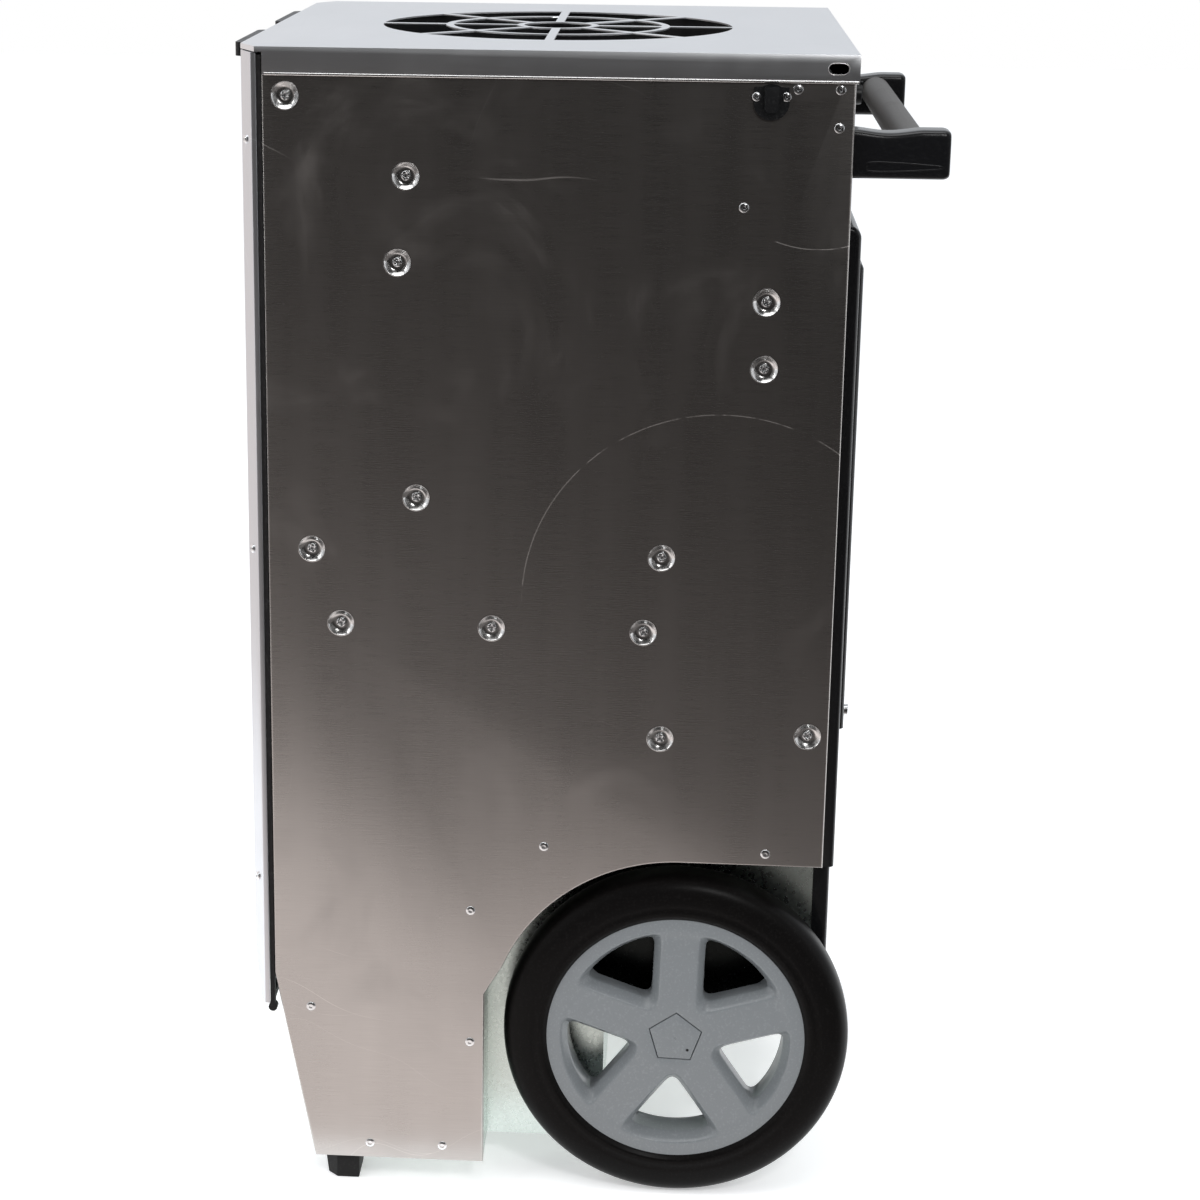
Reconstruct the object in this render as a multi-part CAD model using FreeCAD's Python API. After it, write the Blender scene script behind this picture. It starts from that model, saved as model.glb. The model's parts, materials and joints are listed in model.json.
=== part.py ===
"""Commercial dehumidifier on two large wheels: stainless casing, top air outlet, rear filter and handle.

Frame: X is the width, -Y the front cover, +Y the handle side, +Z up. The origin is on the floor under the
centre of the bounding box. Lengths are millimetres. Distances along the casing are given as u, measured
rearwards from the front edge of the side panels.
"""
import math
import os

import FreeCAD
import Part

V = FreeCAD.Vector

# ---- driving dimensions -------------------------------------------------------------------------------
CASE_WIDTH = 580.0          # over the side panels
CASE_LENGTH = 550.0         # front edge to rear edge of a side panel
CASE_TOP = 1170.0           # top of the lid
CLEARANCE = 31.0            # bottom edge of the side panels above the floor
SHEET = 1.5                 # thickness of the folded sheet metal
FLANGE = 12.0               # return flange of the side panels
FACE_OUT = 24.0             # front face stands this far ahead of the side panels
FACE_INSET = 31.0           # width of each chamfered corner of the front
HANDLE_REACH = 90.0         # handle brackets reach this far behind the casing
WHEEL_RADIUS = 176.0
WHEEL_WIDTH = 56.0
WHEEL_INSET = 2.0           # outer face of a tyre inside the side panel's plane
AXLE_U = 409.0              # axle position along the casing
AXLE_RADIUS = 10.0
OUTLET_RADIUS = 179.0       # round air outlet in the lid
OUTLET_U = 262.0
GRILLE_BAR = 9.0            # width of the outlet's spokes
GRIP_PROUD = 9.0            # front pull grips stand this far off the front face

HALF = CASE_WIDTH / 2
Y0 = -(CASE_LENGTH + HANDLE_REACH - FACE_OUT - GRIP_PROUD) / 2    # front edge of the side panels
REAR_Y = Y0 + CASE_LENGTH
AXLE_Y = Y0 + AXLE_U
LID_DEPTH = 26.0            # depth of the lid's side flange
LID_BOTTOM = CASE_TOP - LID_DEPTH
FRONT_LIP = 5.0             # depth of the lid's lip over the front cover
SLOT_U = 529.0              # front end of the lashing slot
BAY_DEPTH = 65.0            # wheel bay, from the side panel's plane inwards
BAY_X = HALF - BAY_DEPTH
ARCH_TOP = 371.0            # height of the wheel arch
ARCH_RADIUS = 190.0
BAY_FRONT_U = 214.0         # front edge of the wheel bay
SLANT_Z = 236.0             # the front edge slants back below this height
SLANT_U = 40.0              # by this much at the bottom edge
STEP_U = 335.0              # behind this the chassis is raised
STEP_Z = 160.0              # underside of the raised part
COVER_END = 202.0           # lower end of the front cover
BEZEL_BOTTOM, BEZEL_TOP = 361.0, 1008.0
BEZEL_HALF = 262.0
BEZEL_PROUD = 13.0
DOOR_BOTTOM, DOOR_TOP = 491.0, 966.0
DOOR_HALF = 215.0
DOOR_PROUD = 20.0
HANDLE_Z = 1078.0
TUBE_RADIUS = 12.5
GRIP_RADIUS = 16.0
HANDLE_X = 262.0            # middle of each handle bracket
TUBE_Y_BACK = 57.0          # tube centre behind the casing
CONTROL_Z = 1120.0          # row of controls under the lid
GAP = 0.3                   # gap between neighbouring bodies
FIT = 0.06                  # radial clearance of a running fit

# Dimpled screw seats of a side panel, and its small rivets, as (u, z).
DIMPLES = [(22, 1125), (135, 1052), (127, 970), (145, 741), (43, 687), (71, 612), (219, 611),
           (383, 687), (367, 611), (386, 502), (475, 939), (475, 875), (530, 509)]
RIVETS = [(451, 1028), (536, 1103), (497, 1138), (536, 1138), (273, 384), (493, 384),
          (200, 312), (200, 167), (37, 200), (97, 48), (172, 48)]
DIMPLE_RADIUS = 12.5
DIMPLE_DEPTH = 4.0
DIMPLE_FLAT = 6.6           # flat bottom of a screw seat
SCREW_HOLE = 2.8


# ---- small builders -----------------------------------------------------------------------------------
def box(x0, x1, y0, y1, z0, z1):
    return Part.makeBox(x1 - x0, y1 - y0, z1 - z0, V(x0, y0, z0))


def rod(start, direction, radius, length):
    return Part.makeCylinder(radius, length, V(*start), V(*direction))


def tube(start, direction, outer, inner, length):
    return rod(start, direction, outer, length).cut(rod(start, direction, inner, length))


def fuse(shapes):
    shapes = list(shapes)
    return shapes[0].multiFuse(shapes[1:]).removeSplitter() if len(shapes) > 1 else shapes[0]


def mirror(shape):
    return shape.mirror(V(0, 0, 0), V(1, 0, 0))


def side_prism(points, x0, x1):
    """A closed outline of (u, z) points, extruded across the width from x0 to x1."""
    corners = [V(x0, Y0 + u, z) for u, z in points]
    return Part.Face(Part.makePolygon(corners + corners[:1])).extrude(V(x1 - x0, 0, 0))


def plan_prism(points, z0, z1):
    """A closed outline of (x, u) points, extruded upwards from z0 to z1."""
    corners = [V(x, Y0 + u, z0) for x, u in points]
    return Part.Face(Part.makePolygon(corners + corners[:1])).extrude(V(0, 0, z1 - z0))


def turned(profile, axis_start, axis):
    """A profile of (radius, distance along the axis) points, turned about an axis along X, Y or Z."""
    corners = [V(r, 0, h) for r, h in profile]
    solid = Part.Face(Part.makePolygon(corners + corners[:1])).revolve(V(0, 0, 0), V(0, 0, 1), 360)
    solid.Placement = FreeCAD.Placement(V(*axis_start), FreeCAD.Rotation(V(0, 0, 1), V(*axis)))
    return solid


def rounded_edges(shape, radius, pick):
    """Fillets the edges that pick accepts; a fillet that can't be made leaves them sharp."""
    edges = [e for e in shape.Edges if pick(e)]
    try:
        done = shape.makeFillet(radius, edges)
        return done if done.isValid() else shape
    except Part.OCCError:
        return shape


def along(axis):
    """A test for straight edges parallel to an axis."""
    direction = V(*axis)
    return lambda e: isinstance(e.Curve, Part.Line) and abs(abs(e.Curve.Direction * direction) - 1) < 1e-6


# ---- casing -------------------------------------------------------------------------------------------
def panel_outline():
    """Edge of a side panel, as a wire in the plane X = 0, with the wheel arch as an arc."""
    centre_z = ARCH_TOP - ARCH_RADIUS
    start = math.radians(158)
    arch_start = (AXLE_U + ARCH_RADIUS * math.cos(start), centre_z + ARCH_RADIUS * math.sin(start))
    mid = math.radians(124)
    arch_mid = (AXLE_U + ARCH_RADIUS * math.cos(mid), centre_z + ARCH_RADIUS * math.sin(mid))
    before = [(AXLE_U, ARCH_TOP), (CASE_LENGTH, ARCH_TOP), (CASE_LENGTH, CASE_TOP - 2 * SHEET),
              (0, CASE_TOP - 2 * SHEET), (0, SLANT_Z), (SLANT_U, CLEARANCE), (BAY_FRONT_U, CLEARANCE),
              (BAY_FRONT_U, arch_start[1] - 32), arch_start]
    points = [V(0, Y0 + u, z) for u, z in before]
    edges = [Part.LineSegment(a, b).toShape() for a, b in zip(points, points[1:])]
    arc = Part.Arc(points[-1], V(0, Y0 + arch_mid[0], arch_mid[1]), points[0])
    return Part.Wire(edges + [arc.toShape()])


def dimple_dish(u, z):
    """A pressed seat: a cone down to a flat, with the screw's hole in it."""
    r, bottom = DIMPLE_RADIUS, -DIMPLE_DEPTH
    profile = [(r, 0), (r, -SHEET), (DIMPLE_FLAT + 0.8, bottom - SHEET), (SCREW_HOLE, bottom - SHEET),
               (SCREW_HOLE, bottom), (DIMPLE_FLAT, bottom), (r - SHEET, 0)]
    return turned(profile, (HALF, Y0 + u, z), (1, 0, 0))


def side_panel():
    """Right side panel: a folded tray with pressed screw seats. The left one is its mirror image."""
    outline = Part.Face(panel_outline())
    inner = outline.makeOffset2D(-SHEET)
    tray = outline.extrude(V(FLANGE, 0, 0)).cut(inner.extrude(V(FLANGE - SHEET, 0, 0)))
    tray.translate(V(HALF - FLANGE, 0, 0))
    for u, z in DIMPLES:
        tray = tray.cut(rod((HALF - FLANGE, Y0 + u, z), (1, 0, 0), DIMPLE_RADIUS, FLANGE + 1))
    tray = tray.cut(lashing_slot())
    tray = tray.cut(inlet_hole())
    return fuse([tray] + [dimple_dish(u, z) for u, z in DIMPLES])


def lashing_slot():
    """The rounded slot through the lid's flange and the side panel behind it, on both sides."""
    z, reach = LID_BOTTOM + LID_DEPTH / 2, HALF + 10
    ends = [rod((-reach, Y0 + u, z), (1, 0, 0), 5.0, 2 * reach) for u in (SLOT_U, SLOT_U + 9)]
    return fuse(ends + [box(-reach, reach, Y0 + SLOT_U, Y0 + SLOT_U + 9, z - 5, z + 5)])


def nose_plan(inset, back_u):
    """Plan outline of the bowed front: two short returns, two chamfers and the face."""
    w, d = HALF - inset, FACE_OUT - inset
    return [(w, back_u), (w, -10), (w - FACE_INSET + inset * 0.4, -d), (-w + FACE_INSET - inset * 0.4, -d),
            (-w, -10), (-w, back_u)]


def top_lid():
    """Top cover: a tray with deep side and rear flanges, a shallow front lip and the outlet grille."""
    rear_u, inside, corner = CASE_LENGTH + 3, HALF + 0.1, HALF - FACE_INSET
    outer = plan_prism([(HALF + SHEET, rear_u), (HALF + SHEET, -6), (corner, -FACE_OUT),
                        (-corner, -FACE_OUT), (-HALF - SHEET, -6), (-HALF - SHEET, rear_u)],
                       LID_BOTTOM, CASE_TOP)
    inner = plan_prism([(inside, rear_u - SHEET), (inside, -5), (corner - 1, -FACE_OUT + SHEET),
                        (1 - corner, -FACE_OUT + SHEET), (-inside, -5), (-inside, rear_u - SHEET)],
                       LID_BOTTOM, CASE_TOP - SHEET)
    cover = outer.cut(inner)
    cover = cover.cut(box(-CASE_WIDTH, CASE_WIDTH, Y0 - 40, Y0 + 1, LID_BOTTOM - 1, CASE_TOP - FRONT_LIP))
    cover = cover.cut(grille_openings())
    return cover.cut(lashing_slot())


def grille_openings():
    """The outlet's open sectors: two rings of eight and a centre hole."""
    centre, low, depth = (0, Y0 + OUTLET_U, CASE_TOP - 6), (0, 0, 1), 12.0
    outer_ring, inner_ring = (115.0, 107.0), (42.0, 34.5)
    openings = tube(centre, low, OUTLET_RADIUS, outer_ring[0], depth)
    openings = openings.fuse(tube(centre, low, outer_ring[1], inner_ring[0], depth))
    bar = box(-OUTLET_RADIUS - 5, OUTLET_RADIUS + 5, -GRILLE_BAR / 2, GRILLE_BAR / 2, -5, 20)
    for turn in range(4):
        spoke = bar.copy()
        spoke.rotate(V(0, 0, 0), V(0, 0, 1), 45 * turn)
        spoke.translate(V(*centre))
        openings = openings.cut(spoke)
    return openings.fuse(rod(centre, low, inner_ring[1], depth))


FACET_ANGLE = math.atan2(FACE_OUT - 10, FACE_INSET)     # of the chamfered corners, from the X axis
FACET_AXIS = (math.sin(FACET_ANGLE), -math.cos(FACET_ANGLE), 0)
COVER_SCREW_Z = (1082.0, 681.0, 335.0)


def facet_point(z):
    """Middle of the right chamfered corner at a height."""
    return (HALF - FACE_INSET / 2, Y0 - (FACE_OUT + 10) / 2, z)


def front_cover():
    """Removable front: face, two chamfers and short returns, bent back along the slant at the bottom."""
    top, bend, end = CASE_TOP - 6, SLANT_Z + 12, COVER_END
    slope = SLANT_U / (SLANT_Z - CLEARANCE)

    def profile(inset, back):
        return [(-FACE_OUT + inset, top - inset), (back, top - inset), (back, end - 2 * inset),
                (-FACE_OUT + inset + (bend - end) * slope, end - 2 * inset), (-FACE_OUT + inset, bend)]

    outer = plan_prism(nose_plan(0, -5), end, top).common(side_prism(profile(0, -5), -HALF, HALF))
    inner = plan_prism(nose_plan(SHEET, -4), end - 5, top - SHEET)
    inner = inner.common(side_prism(profile(SHEET, -4), -HALF, HALF))
    cover = outer.cut(inner)
    holes = []
    for z in COVER_SCREW_Z:
        start = V(*facet_point(z)) - V(*FACET_AXIS) * 5
        holes.append(Part.makeCylinder(1.8, 10, start, V(*FACET_AXIS)))
    return cover.cut(Part.makeCompound(holes + [mirror(h) for h in holes]))


def front_gasket():
    """Rubber seal in the joint behind the front cover: two uprights with bulb ends and a bottom run."""
    side = box(HALF - 9, HALF - 1, Y0 - 4.8, Y0 - 0.2, COVER_END - 5, CASE_TOP - 8)
    bulb = rod((HALF - 9, Y0 - 2.5, COVER_END - 5), (1, 0, 0), 4.5, 8)
    bottom = box(-HALF + 9, HALF - 9, Y0 - 4.8, Y0 - 0.2, COVER_END + 3, COVER_END + 10)
    return fuse([side, bulb, mirror(side), mirror(bulb), bottom])


def front_grips():
    """Two low moulded pulls at the top of the front cover, each hollow behind its lip."""
    z0, z1 = CASE_TOP - 14, CASE_TOP - 1
    y1 = Y0 - FACE_OUT
    grips = []
    for x0, x1 in ((96, 240), (-150, -6)):
        grip = box(x0, x1, y1 - GRIP_PROUD, y1, z0, z1)
        grip = rounded_edges(grip, 7.0, lambda e: along((0, 0, 1))(e) and e.CenterOfMass.y < y1 - 5)
        grips.append(grip.cut(box(x0 + 6, x1 - 6, y1 - GRIP_PROUD + 2.5, y1 + 1, z0 - 1, z1 - 5)))
    return Part.makeCompound(grips)


def rear_panel():
    """Rear sheet with the filter opening, a window behind the controls and the handle's bolt holes."""
    y1 = REAR_Y - 2
    sheet = box(-HALF + SHEET + 0.2, HALF - SHEET - 0.2, y1 - SHEET, y1, ARCH_TOP + SHEET, LID_BOTTOM + 8)
    sheet = sheet.cut(lashing_slot())
    sheet = sheet.cut(box(-DOOR_HALF + 4, DOOR_HALF - 4, y1 - 9, y1 + 9, DOOR_BOTTOM + 20, DOOR_TOP - 8))
    sheet = sheet.cut(box(-140, 175, y1 - 9, y1 + 9, CONTROL_Z - 17, CONTROL_Z + 17))
    holes = [rod((x, y1 - 9, z), (0, 1, 0), 3.1, 18) for x in (-HANDLE_X, HANDLE_X) for z in BOLT_ZS]
    return sheet.cut(Part.makeCompound(holes))


def base_chassis():
    """Galvanised base: front wall, low floor between the wheel bays, and a raised deck over the axle."""
    z0, wide, narrow, rise = CLEARANCE + 2, HALF - 14, BAY_X - 2, SLANT_U / (SLANT_Z - CLEARANCE)
    wall_top = SLANT_Z + 60
    wall = side_prism([(SLANT_U + 3, z0), (3 + rise * 2, SLANT_Z), (1, SLANT_Z + 4), (1, wall_top),
                       (1 + SHEET, wall_top), (1 + SHEET, SLANT_Z + 4), (3 + SHEET + rise * 2, SLANT_Z),
                       (SLANT_U + 3 + SHEET, z0)], -wide, wide)
    floor = box(-wide, wide, Y0 + SLANT_U + 3, Y0 + BAY_FRONT_U - 3, z0, z0 + SHEET)
    middle = box(-narrow, narrow, Y0 + BAY_FRONT_U - 3, Y0 + STEP_U, z0, z0 + SHEET)
    riser = box(-narrow, narrow, Y0 + STEP_U - SHEET, Y0 + STEP_U, z0, STEP_Z + SHEET)
    deck = box(-narrow, narrow, Y0 + STEP_U - SHEET, REAR_Y - 6, STEP_Z, STEP_Z + SHEET)
    return fuse([wall, floor, middle, riser, deck])


def wheelhouse():
    """Right wheel bay: inner side plate, front wall and roof, in one folded galvanised sheet."""
    x, roof_z, back = BAY_X, ARCH_TOP + 14, CASE_LENGTH - 5
    plate = side_prism([(BAY_FRONT_U, CLEARANCE), (STEP_U, CLEARANCE), (STEP_U, STEP_Z), (back, STEP_Z),
                        (back, roof_z), (BAY_FRONT_U, roof_z)], x - SHEET, x)
    plate = plate.cut(rod((x - 5, AXLE_Y, WHEEL_RADIUS), (1, 0, 0), AXLE_RADIUS + 0.1, 10))
    y0 = Y0 + BAY_FRONT_U
    front = box(x - SHEET, HALF - FLANGE - 0.2, y0 - SHEET, y0, CLEARANCE + 2, roof_z)
    roof = box(x - SHEET, HALF - SHEET - 0.2, y0, Y0 + back, roof_z - SHEET, roof_z)
    return fuse([plate, front, roof])


def front_feet():
    """Two rubber front feet with slanted outer corners."""
    z1, x1, x0 = CLEARANCE + 2, HALF - 12.5, HALF - 52
    foot = side_prism([(51, 0), (84, 0), (84, z1), (46, z1)], x0, x1)
    corner = plan_prism([(x1 + 1, 40), (x1 + 1, 62), (x1 - 20, 40)], -1, z1 + 1)
    foot = foot.cut(corner)
    return Part.makeCompound([foot, mirror(foot)])


DRAIN_X, DRAIN_Z = 140.0, 175.0
DRAIN_RADIUS, DRAIN_NECK, DRAIN_COLLAR = 8.0, 7.2, 10.0
DRAIN_STUB = 18.5


def rear_lower_cover():
    """Black moulded cover below the filter, with the drain outlet through it."""
    z0, z1, y0, y1 = STEP_Z + SHEET, BEZEL_BOTTOM - 0.5, REAR_Y - 6, REAR_Y + 12
    cover = box(-BAY_X + 2, BAY_X - 2, y0, y1, z0, z1)
    cover = rounded_edges(cover, 5.0, lambda e: along((0, 0, 1))(e) and e.CenterOfMass.y > REAR_Y)
    cover = cover.cut(box(-BAY_X + 5, BAY_X - 5, y0 - 1, y1 - 3, z0 + 3, z1 - 3))
    return cover.cut(rod((DRAIN_X, REAR_Y, DRAIN_Z), (0, 1, 0), DRAIN_RADIUS + 0.1, 20))


# ---- fasteners ----------------------------------------------------------------------------------------
def pan_screw(position, axis, head_radius, shank_radius, shank):
    """A pan-head screw with a hollow drive. The head's underside is at position; axis points out of it."""
    head = 0.62 * head_radius
    profile = [(0, -shank), (shank_radius, -shank), (shank_radius, 0), (head_radius, 0),
               (head_radius, head * 0.45), (head_radius * 0.72, head * 0.9), (head_radius * 0.3, head),
               (head_radius * 0.3, head * 0.3), (0, head * 0.3)]
    return turned(profile, position, axis)


def both_sides(shapes):
    return Part.makeCompound(shapes + [mirror(s) for s in shapes])


def panel_screws():
    """Pan-head screws in the pressed seats of both side panels."""
    x = HALF - DIMPLE_DEPTH
    return both_sides([pan_screw((x, Y0 + u, z), (1, 0, 0), 5.2, 2.5, 9) for u, z in DIMPLES])


def rivet(position):
    """Blind rivet: a domed flange with the pulled mandrel's hollow in the middle."""
    profile = [(0, 0), (4.6, 0), (4.2, 0.7), (2.4, 1.3), (1.5, 1.3), (1.2, 0.4), (0, 0.4)]
    return turned(profile, position, (1, 0, 0))


def panel_rivets():
    """Rivets of both side panels, and the two that hold the mains inlet."""
    panels = both_sides([rivet((HALF, Y0 + u, z)) for u, z in RIVETS])
    inlet = [rivet((HALF + INLET_FLANGE, Y0 + INLET_U + d, INLET_Z + 5)) for d in (-12, 12)]
    return Part.makeCompound(panels.Solids + inlet)


def front_cover_screws():
    """Three small screws down each chamfered corner of the front cover."""
    return both_sides([pan_screw(facet_point(z), FACET_AXIS, 4.2, 1.75, SHEET) for z in COVER_SCREW_Z])


BOLT_ZS = (HANDLE_Z - 13, HANDLE_Z + 13)


def handle_bolts():
    """Bolts from inside the casing through the rear panel into the handle brackets."""
    return both_sides([pan_screw((HANDLE_X, REAR_Y - 3.5, z), (0, -1, 0), 6.0, 3.0, 11) for z in BOLT_ZS])


# ---- mains inlet --------------------------------------------------------------------------------------
INLET_U, INLET_Z = 473.0, 1126.0
INLET_BARREL = 12.0
INLET_FLANGE = 2.5


def inlet_hole():
    """Hole in the right side panel for the mains inlet's barrel."""
    return rod((HALF - 20, Y0 + INLET_U, INLET_Z), (1, 0, 0), INLET_BARREL + 0.1, 40)


def power_inlet():
    """Round moulded appliance inlet with screw lugs and a raised guide, cut off under the lid's flange."""
    x, y, z = HALF, Y0 + INLET_U, INLET_Z
    flange = rod((x, y, z), (1, 0, 0), 16.5, INLET_FLANGE)
    lugs = box(x, x + INLET_FLANGE, y - 16, y + 16, z, z + 14)
    nose = box(x, x + 9, y - 6.5, y + 6.5, z - 9, z + 14)
    nose = rounded_edges(nose, 5.0, lambda e: along((1, 0, 0))(e) and e.CenterOfMass.z < z)
    barrel = rod((x - 18, y, z), (1, 0, 0), INLET_BARREL, 18)
    under_lid = box(x - 30, x + 30, y - 30, y + 30, z - 30, LID_BOTTOM - 0.5)
    return fuse([flange, lugs, nose, barrel]).common(under_lid)


# ---- handle -------------------------------------------------------------------------------------------
TUBE_Y = REAR_Y + TUBE_Y_BACK
TUBE_Z = HANDLE_Z + 4
SOCKET = 22.0               # depth of the tube's socket in each bracket
BRACKET_HALF = 18.0         # half the width of a bracket
BRACKET_RISE = 23.0         # half its height
WAIST_RADIUS = 260.0        # of the hollow along its top


def handle_bracket():
    """Right moulded bracket: a deep arm with a waisted top and a socket for the tube."""
    x0, x1 = HANDLE_X - BRACKET_HALF, HANDLE_X + BRACKET_HALF
    y0, y1 = REAR_Y - 2, REAR_Y + HANDLE_REACH
    z0, z1 = HANDLE_Z - BRACKET_RISE, HANDLE_Z + BRACKET_RISE
    arm = box(x0, x1, y0, y1, z0, z1)
    arm = arm.cut(box(HALF - FLANGE - 0.5, x1 + 1, y0 - 1, REAR_Y, z0 - 1, z1 + 1))
    arm = arm.cut(rod((x0 - 10, REAR_Y + 26, z1 + WAIST_RADIUS - 3), (1, 0, 0), WAIST_RADIUS, 60))
    arm = rounded_edges(arm, 8.0, lambda e: along((1, 0, 0))(e) and e.CenterOfMass.y > y1 - 2)
    arm = rounded_edges(arm, 6.0, lambda e: along((0, 0, 1))(e) and e.CenterOfMass.y > y1 - 2)
    cuts = [rod((x0 - 1, TUBE_Y, TUBE_Z), (1, 0, 0), TUBE_RADIUS + 0.1, SOCKET + 1)]
    cuts += [rod((HANDLE_X, y0 - 1, z), (0, 1, 0), 3.1, 12) for z in BOLT_ZS]
    return arm.cut(Part.makeCompound(cuts))


def handle_tube():
    """Steel tube of the handle, seated in both brackets."""
    half = HANDLE_X - BRACKET_HALF + SOCKET - 0.5
    return tube((-half, TUBE_Y, TUBE_Z), (1, 0, 0), TUBE_RADIUS, TUBE_RADIUS - 2, 2 * half)


def handle_grip():
    """Sleeve over the whole length of the tube between the brackets."""
    half = HANDLE_X - BRACKET_HALF - GAP
    return tube((-half, TUBE_Y, TUBE_Z), (1, 0, 0), GRIP_RADIUS, TUBE_RADIUS, 2 * half)


# ---- filter housing -----------------------------------------------------------------------------------
def filter_bezel():
    """Moulded surround of the air inlet, rounded at the top and hollow behind."""
    y0, y1, wall = REAR_Y - 2, REAR_Y + BEZEL_PROUD, 3.0
    frame = box(-BEZEL_HALF, BEZEL_HALF, y0, y1, BEZEL_BOTTOM, BEZEL_TOP)
    frame = rounded_edges(frame, 12.0, lambda e: along((1, 0, 0))(e) and e.CenterOfMass.y > y1 - 1
                          and e.CenterOfMass.z > BEZEL_TOP - 1)
    frame = rounded_edges(frame, 5.0, lambda e: along((0, 0, 1))(e) and e.CenterOfMass.y > y1 - 1)
    opening = box(-DOOR_HALF - GAP, DOOR_HALF + GAP, y0 - 1, y1 + 1, DOOR_BOTTOM - GAP, DOOR_TOP + GAP)
    inside = BEZEL_HALF - wall
    hollow = box(-inside, inside, y0 - 1, y1 - wall, BEZEL_BOTTOM + wall, BEZEL_TOP - 3 * wall)
    rim = DOOR_HALF + wall
    land = box(-rim, rim, y0 - 2, y1 + 1, DOOR_BOTTOM - wall, DOOR_TOP + wall)
    return frame.cut(hollow.cut(land)).cut(opening)


LATCH_X, LATCH_Z = 190.0, DOOR_BOTTOM + 12
STUD_RADIUS = 2.9
SLOT_ROWS, SLOT_PITCH, SLOT_HEIGHT = 18, 22.0, 12.0     # air slots of the filter door
FIRST_SLOT = DOOR_BOTTOM + 44
SLOT_END, MIDDLE_RIB = DOOR_HALF - 26, 9.0


def filter_door():
    """Louvred door over the filter, standing proud of the surround, rounded at its top."""
    y0, y1, wall = REAR_Y - 1.7, REAR_Y + DOOR_PROUD, 4.0
    door = box(-DOOR_HALF, DOOR_HALF, y0, y1, DOOR_BOTTOM, DOOR_TOP)
    door = rounded_edges(door, 8.0, lambda e: along((1, 0, 0))(e) and e.CenterOfMass.y > y1 - 1
                         and e.CenterOfMass.z > DOOR_TOP - 1)
    door = rounded_edges(door, 6.0, lambda e: along((0, 0, 1))(e) and e.CenterOfMass.y > y1 - 1)
    inside = DOOR_HALF - wall
    door = door.cut(box(-inside, inside, y0 - 1, y1 - wall, DOOR_BOTTOM + wall, DOOR_TOP - wall - 3))
    slots = []
    for row in range(SLOT_ROWS):
        z = FIRST_SLOT + row * SLOT_PITCH
        for x0, x1 in ((-SLOT_END, -MIDDLE_RIB), (MIDDLE_RIB, SLOT_END)):
            slots.append(box(x0, x1, y1 - 2 * wall, y1 + 1, z, z + SLOT_HEIGHT))
    bore = STUD_RADIUS + FIT
    studs = [rod((x, y0, LATCH_Z), (0, 1, 0), bore, DOOR_PROUD + 5) for x in (-LATCH_X, LATCH_X)]
    return door.cut(Part.makeCompound(slots + studs))


def filter_pad():
    """Washable foam filter held behind the louvres."""
    y1 = REAR_Y + DOOR_PROUD - 4.5
    return box(-DOOR_HALF + 6, DOOR_HALF - 6, y1 - 8, y1, DOOR_BOTTOM + 26, DOOR_TOP - 14)


def latch_knob():
    """Quarter-turn stud of the filter door with a slotted head and a cross pin at its tip."""
    y = REAR_Y + DOOR_PROUD + GAP
    profile = [(0, 0), (5.4, 0), (6.0, 0.7), (6.0, 4.3), (5.2, 5.1), (0, 5.1)]
    head = turned(profile, (LATCH_X, y, LATCH_Z), (0, 1, 0))
    head = head.cut(box(LATCH_X - 0.8, LATCH_X + 0.8, y + 3.6, y + 8, LATCH_Z - 8, LATCH_Z + 8))
    stud = rod((LATCH_X, y - 12, LATCH_Z), (0, 1, 0), STUD_RADIUS, 12)
    pin = rod((LATCH_X - 5, y - 10, LATCH_Z), (1, 0, 0), 1.2, 10)
    return fuse([head, stud, pin])


# ---- controls -----------------------------------------------------------------------------------------
CONTROL_Y = REAR_Y - 2      # outer face of the rear panel
KNOB_X, ROCKER_X, BREAKER_X, METER_X = 150.0, 90.0, 55.0, -20.0
LAMP_XS = (-75.0, -98.0, -121.0)
SHAFT_RADIUS = 4.0
ROCKER_TILT = 8.0


def control_plate():
    """Moulded plate under the lid that carries the knob, switches, hour meter and lamps."""
    y, z = CONTROL_Y, CONTROL_Z
    plate = box(-150, 185, y, y + 3, z - 20, z + 20)
    plate = rounded_edges(plate, 6.0, along((0, 1, 0)))
    holes = [rod((KNOB_X, y - 1, z), (0, 1, 0), SHAFT_RADIUS + FIT, 6),
             box(ROCKER_X - 11, ROCKER_X + 11, y - 1, y + 5, z - 14.5, z + 14.5),
             rod((BREAKER_X, y - 1, z), (0, 1, 0), 5.6 + FIT, 6),
             box(METER_X - 25, METER_X + 25, y + 1, y + 5, z - 12, z + 12)]
    holes += [rod((x, y + 0.5, z), (0, 1, 0), 4.0, 6) for x in LAMP_XS]
    return plate.cut(Part.makeCompound(holes))


def hygrostat_knob():
    """Pointer knob with a skirt, a raised pointer and its shaft."""
    y = CONTROL_Y + 3 + GAP
    profile = [(0, 0), (15, 0), (15, 2.2), (12.5, 4.0), (10.5, 4.0), (9.6, 12.5), (8.6, 13.5), (0, 13.5)]
    grip = turned(profile, (KNOB_X, y, CONTROL_Z), (0, 1, 0))
    pointer = box(KNOB_X - 1.2, KNOB_X + 1.2, y + 3.9, y + 14.2, CONTROL_Z, CONTROL_Z + 12)
    shaft = rod((KNOB_X, CONTROL_Y - 8, CONTROL_Z), (0, 1, 0), SHAFT_RADIUS, 12)
    return fuse([grip, pointer, shaft])


def switch_rocker():
    """Rocker of the main switch, hollowed on its face and tipped to its off side."""
    x, y, z = ROCKER_X, CONTROL_Y, CONTROL_Z
    body = box(x - 10.2, x + 10.2, y - 3, y + 5.2, z - 12.6, z + 12.6)
    dip = Part.makeCylinder(30, 40, V(x - 20, y + 33.4, z), V(1, 0, 0))
    body = body.cut(dip)
    body.rotate(V(x, y, z), V(1, 0, 0), -ROCKER_TILT)
    return body


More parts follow.
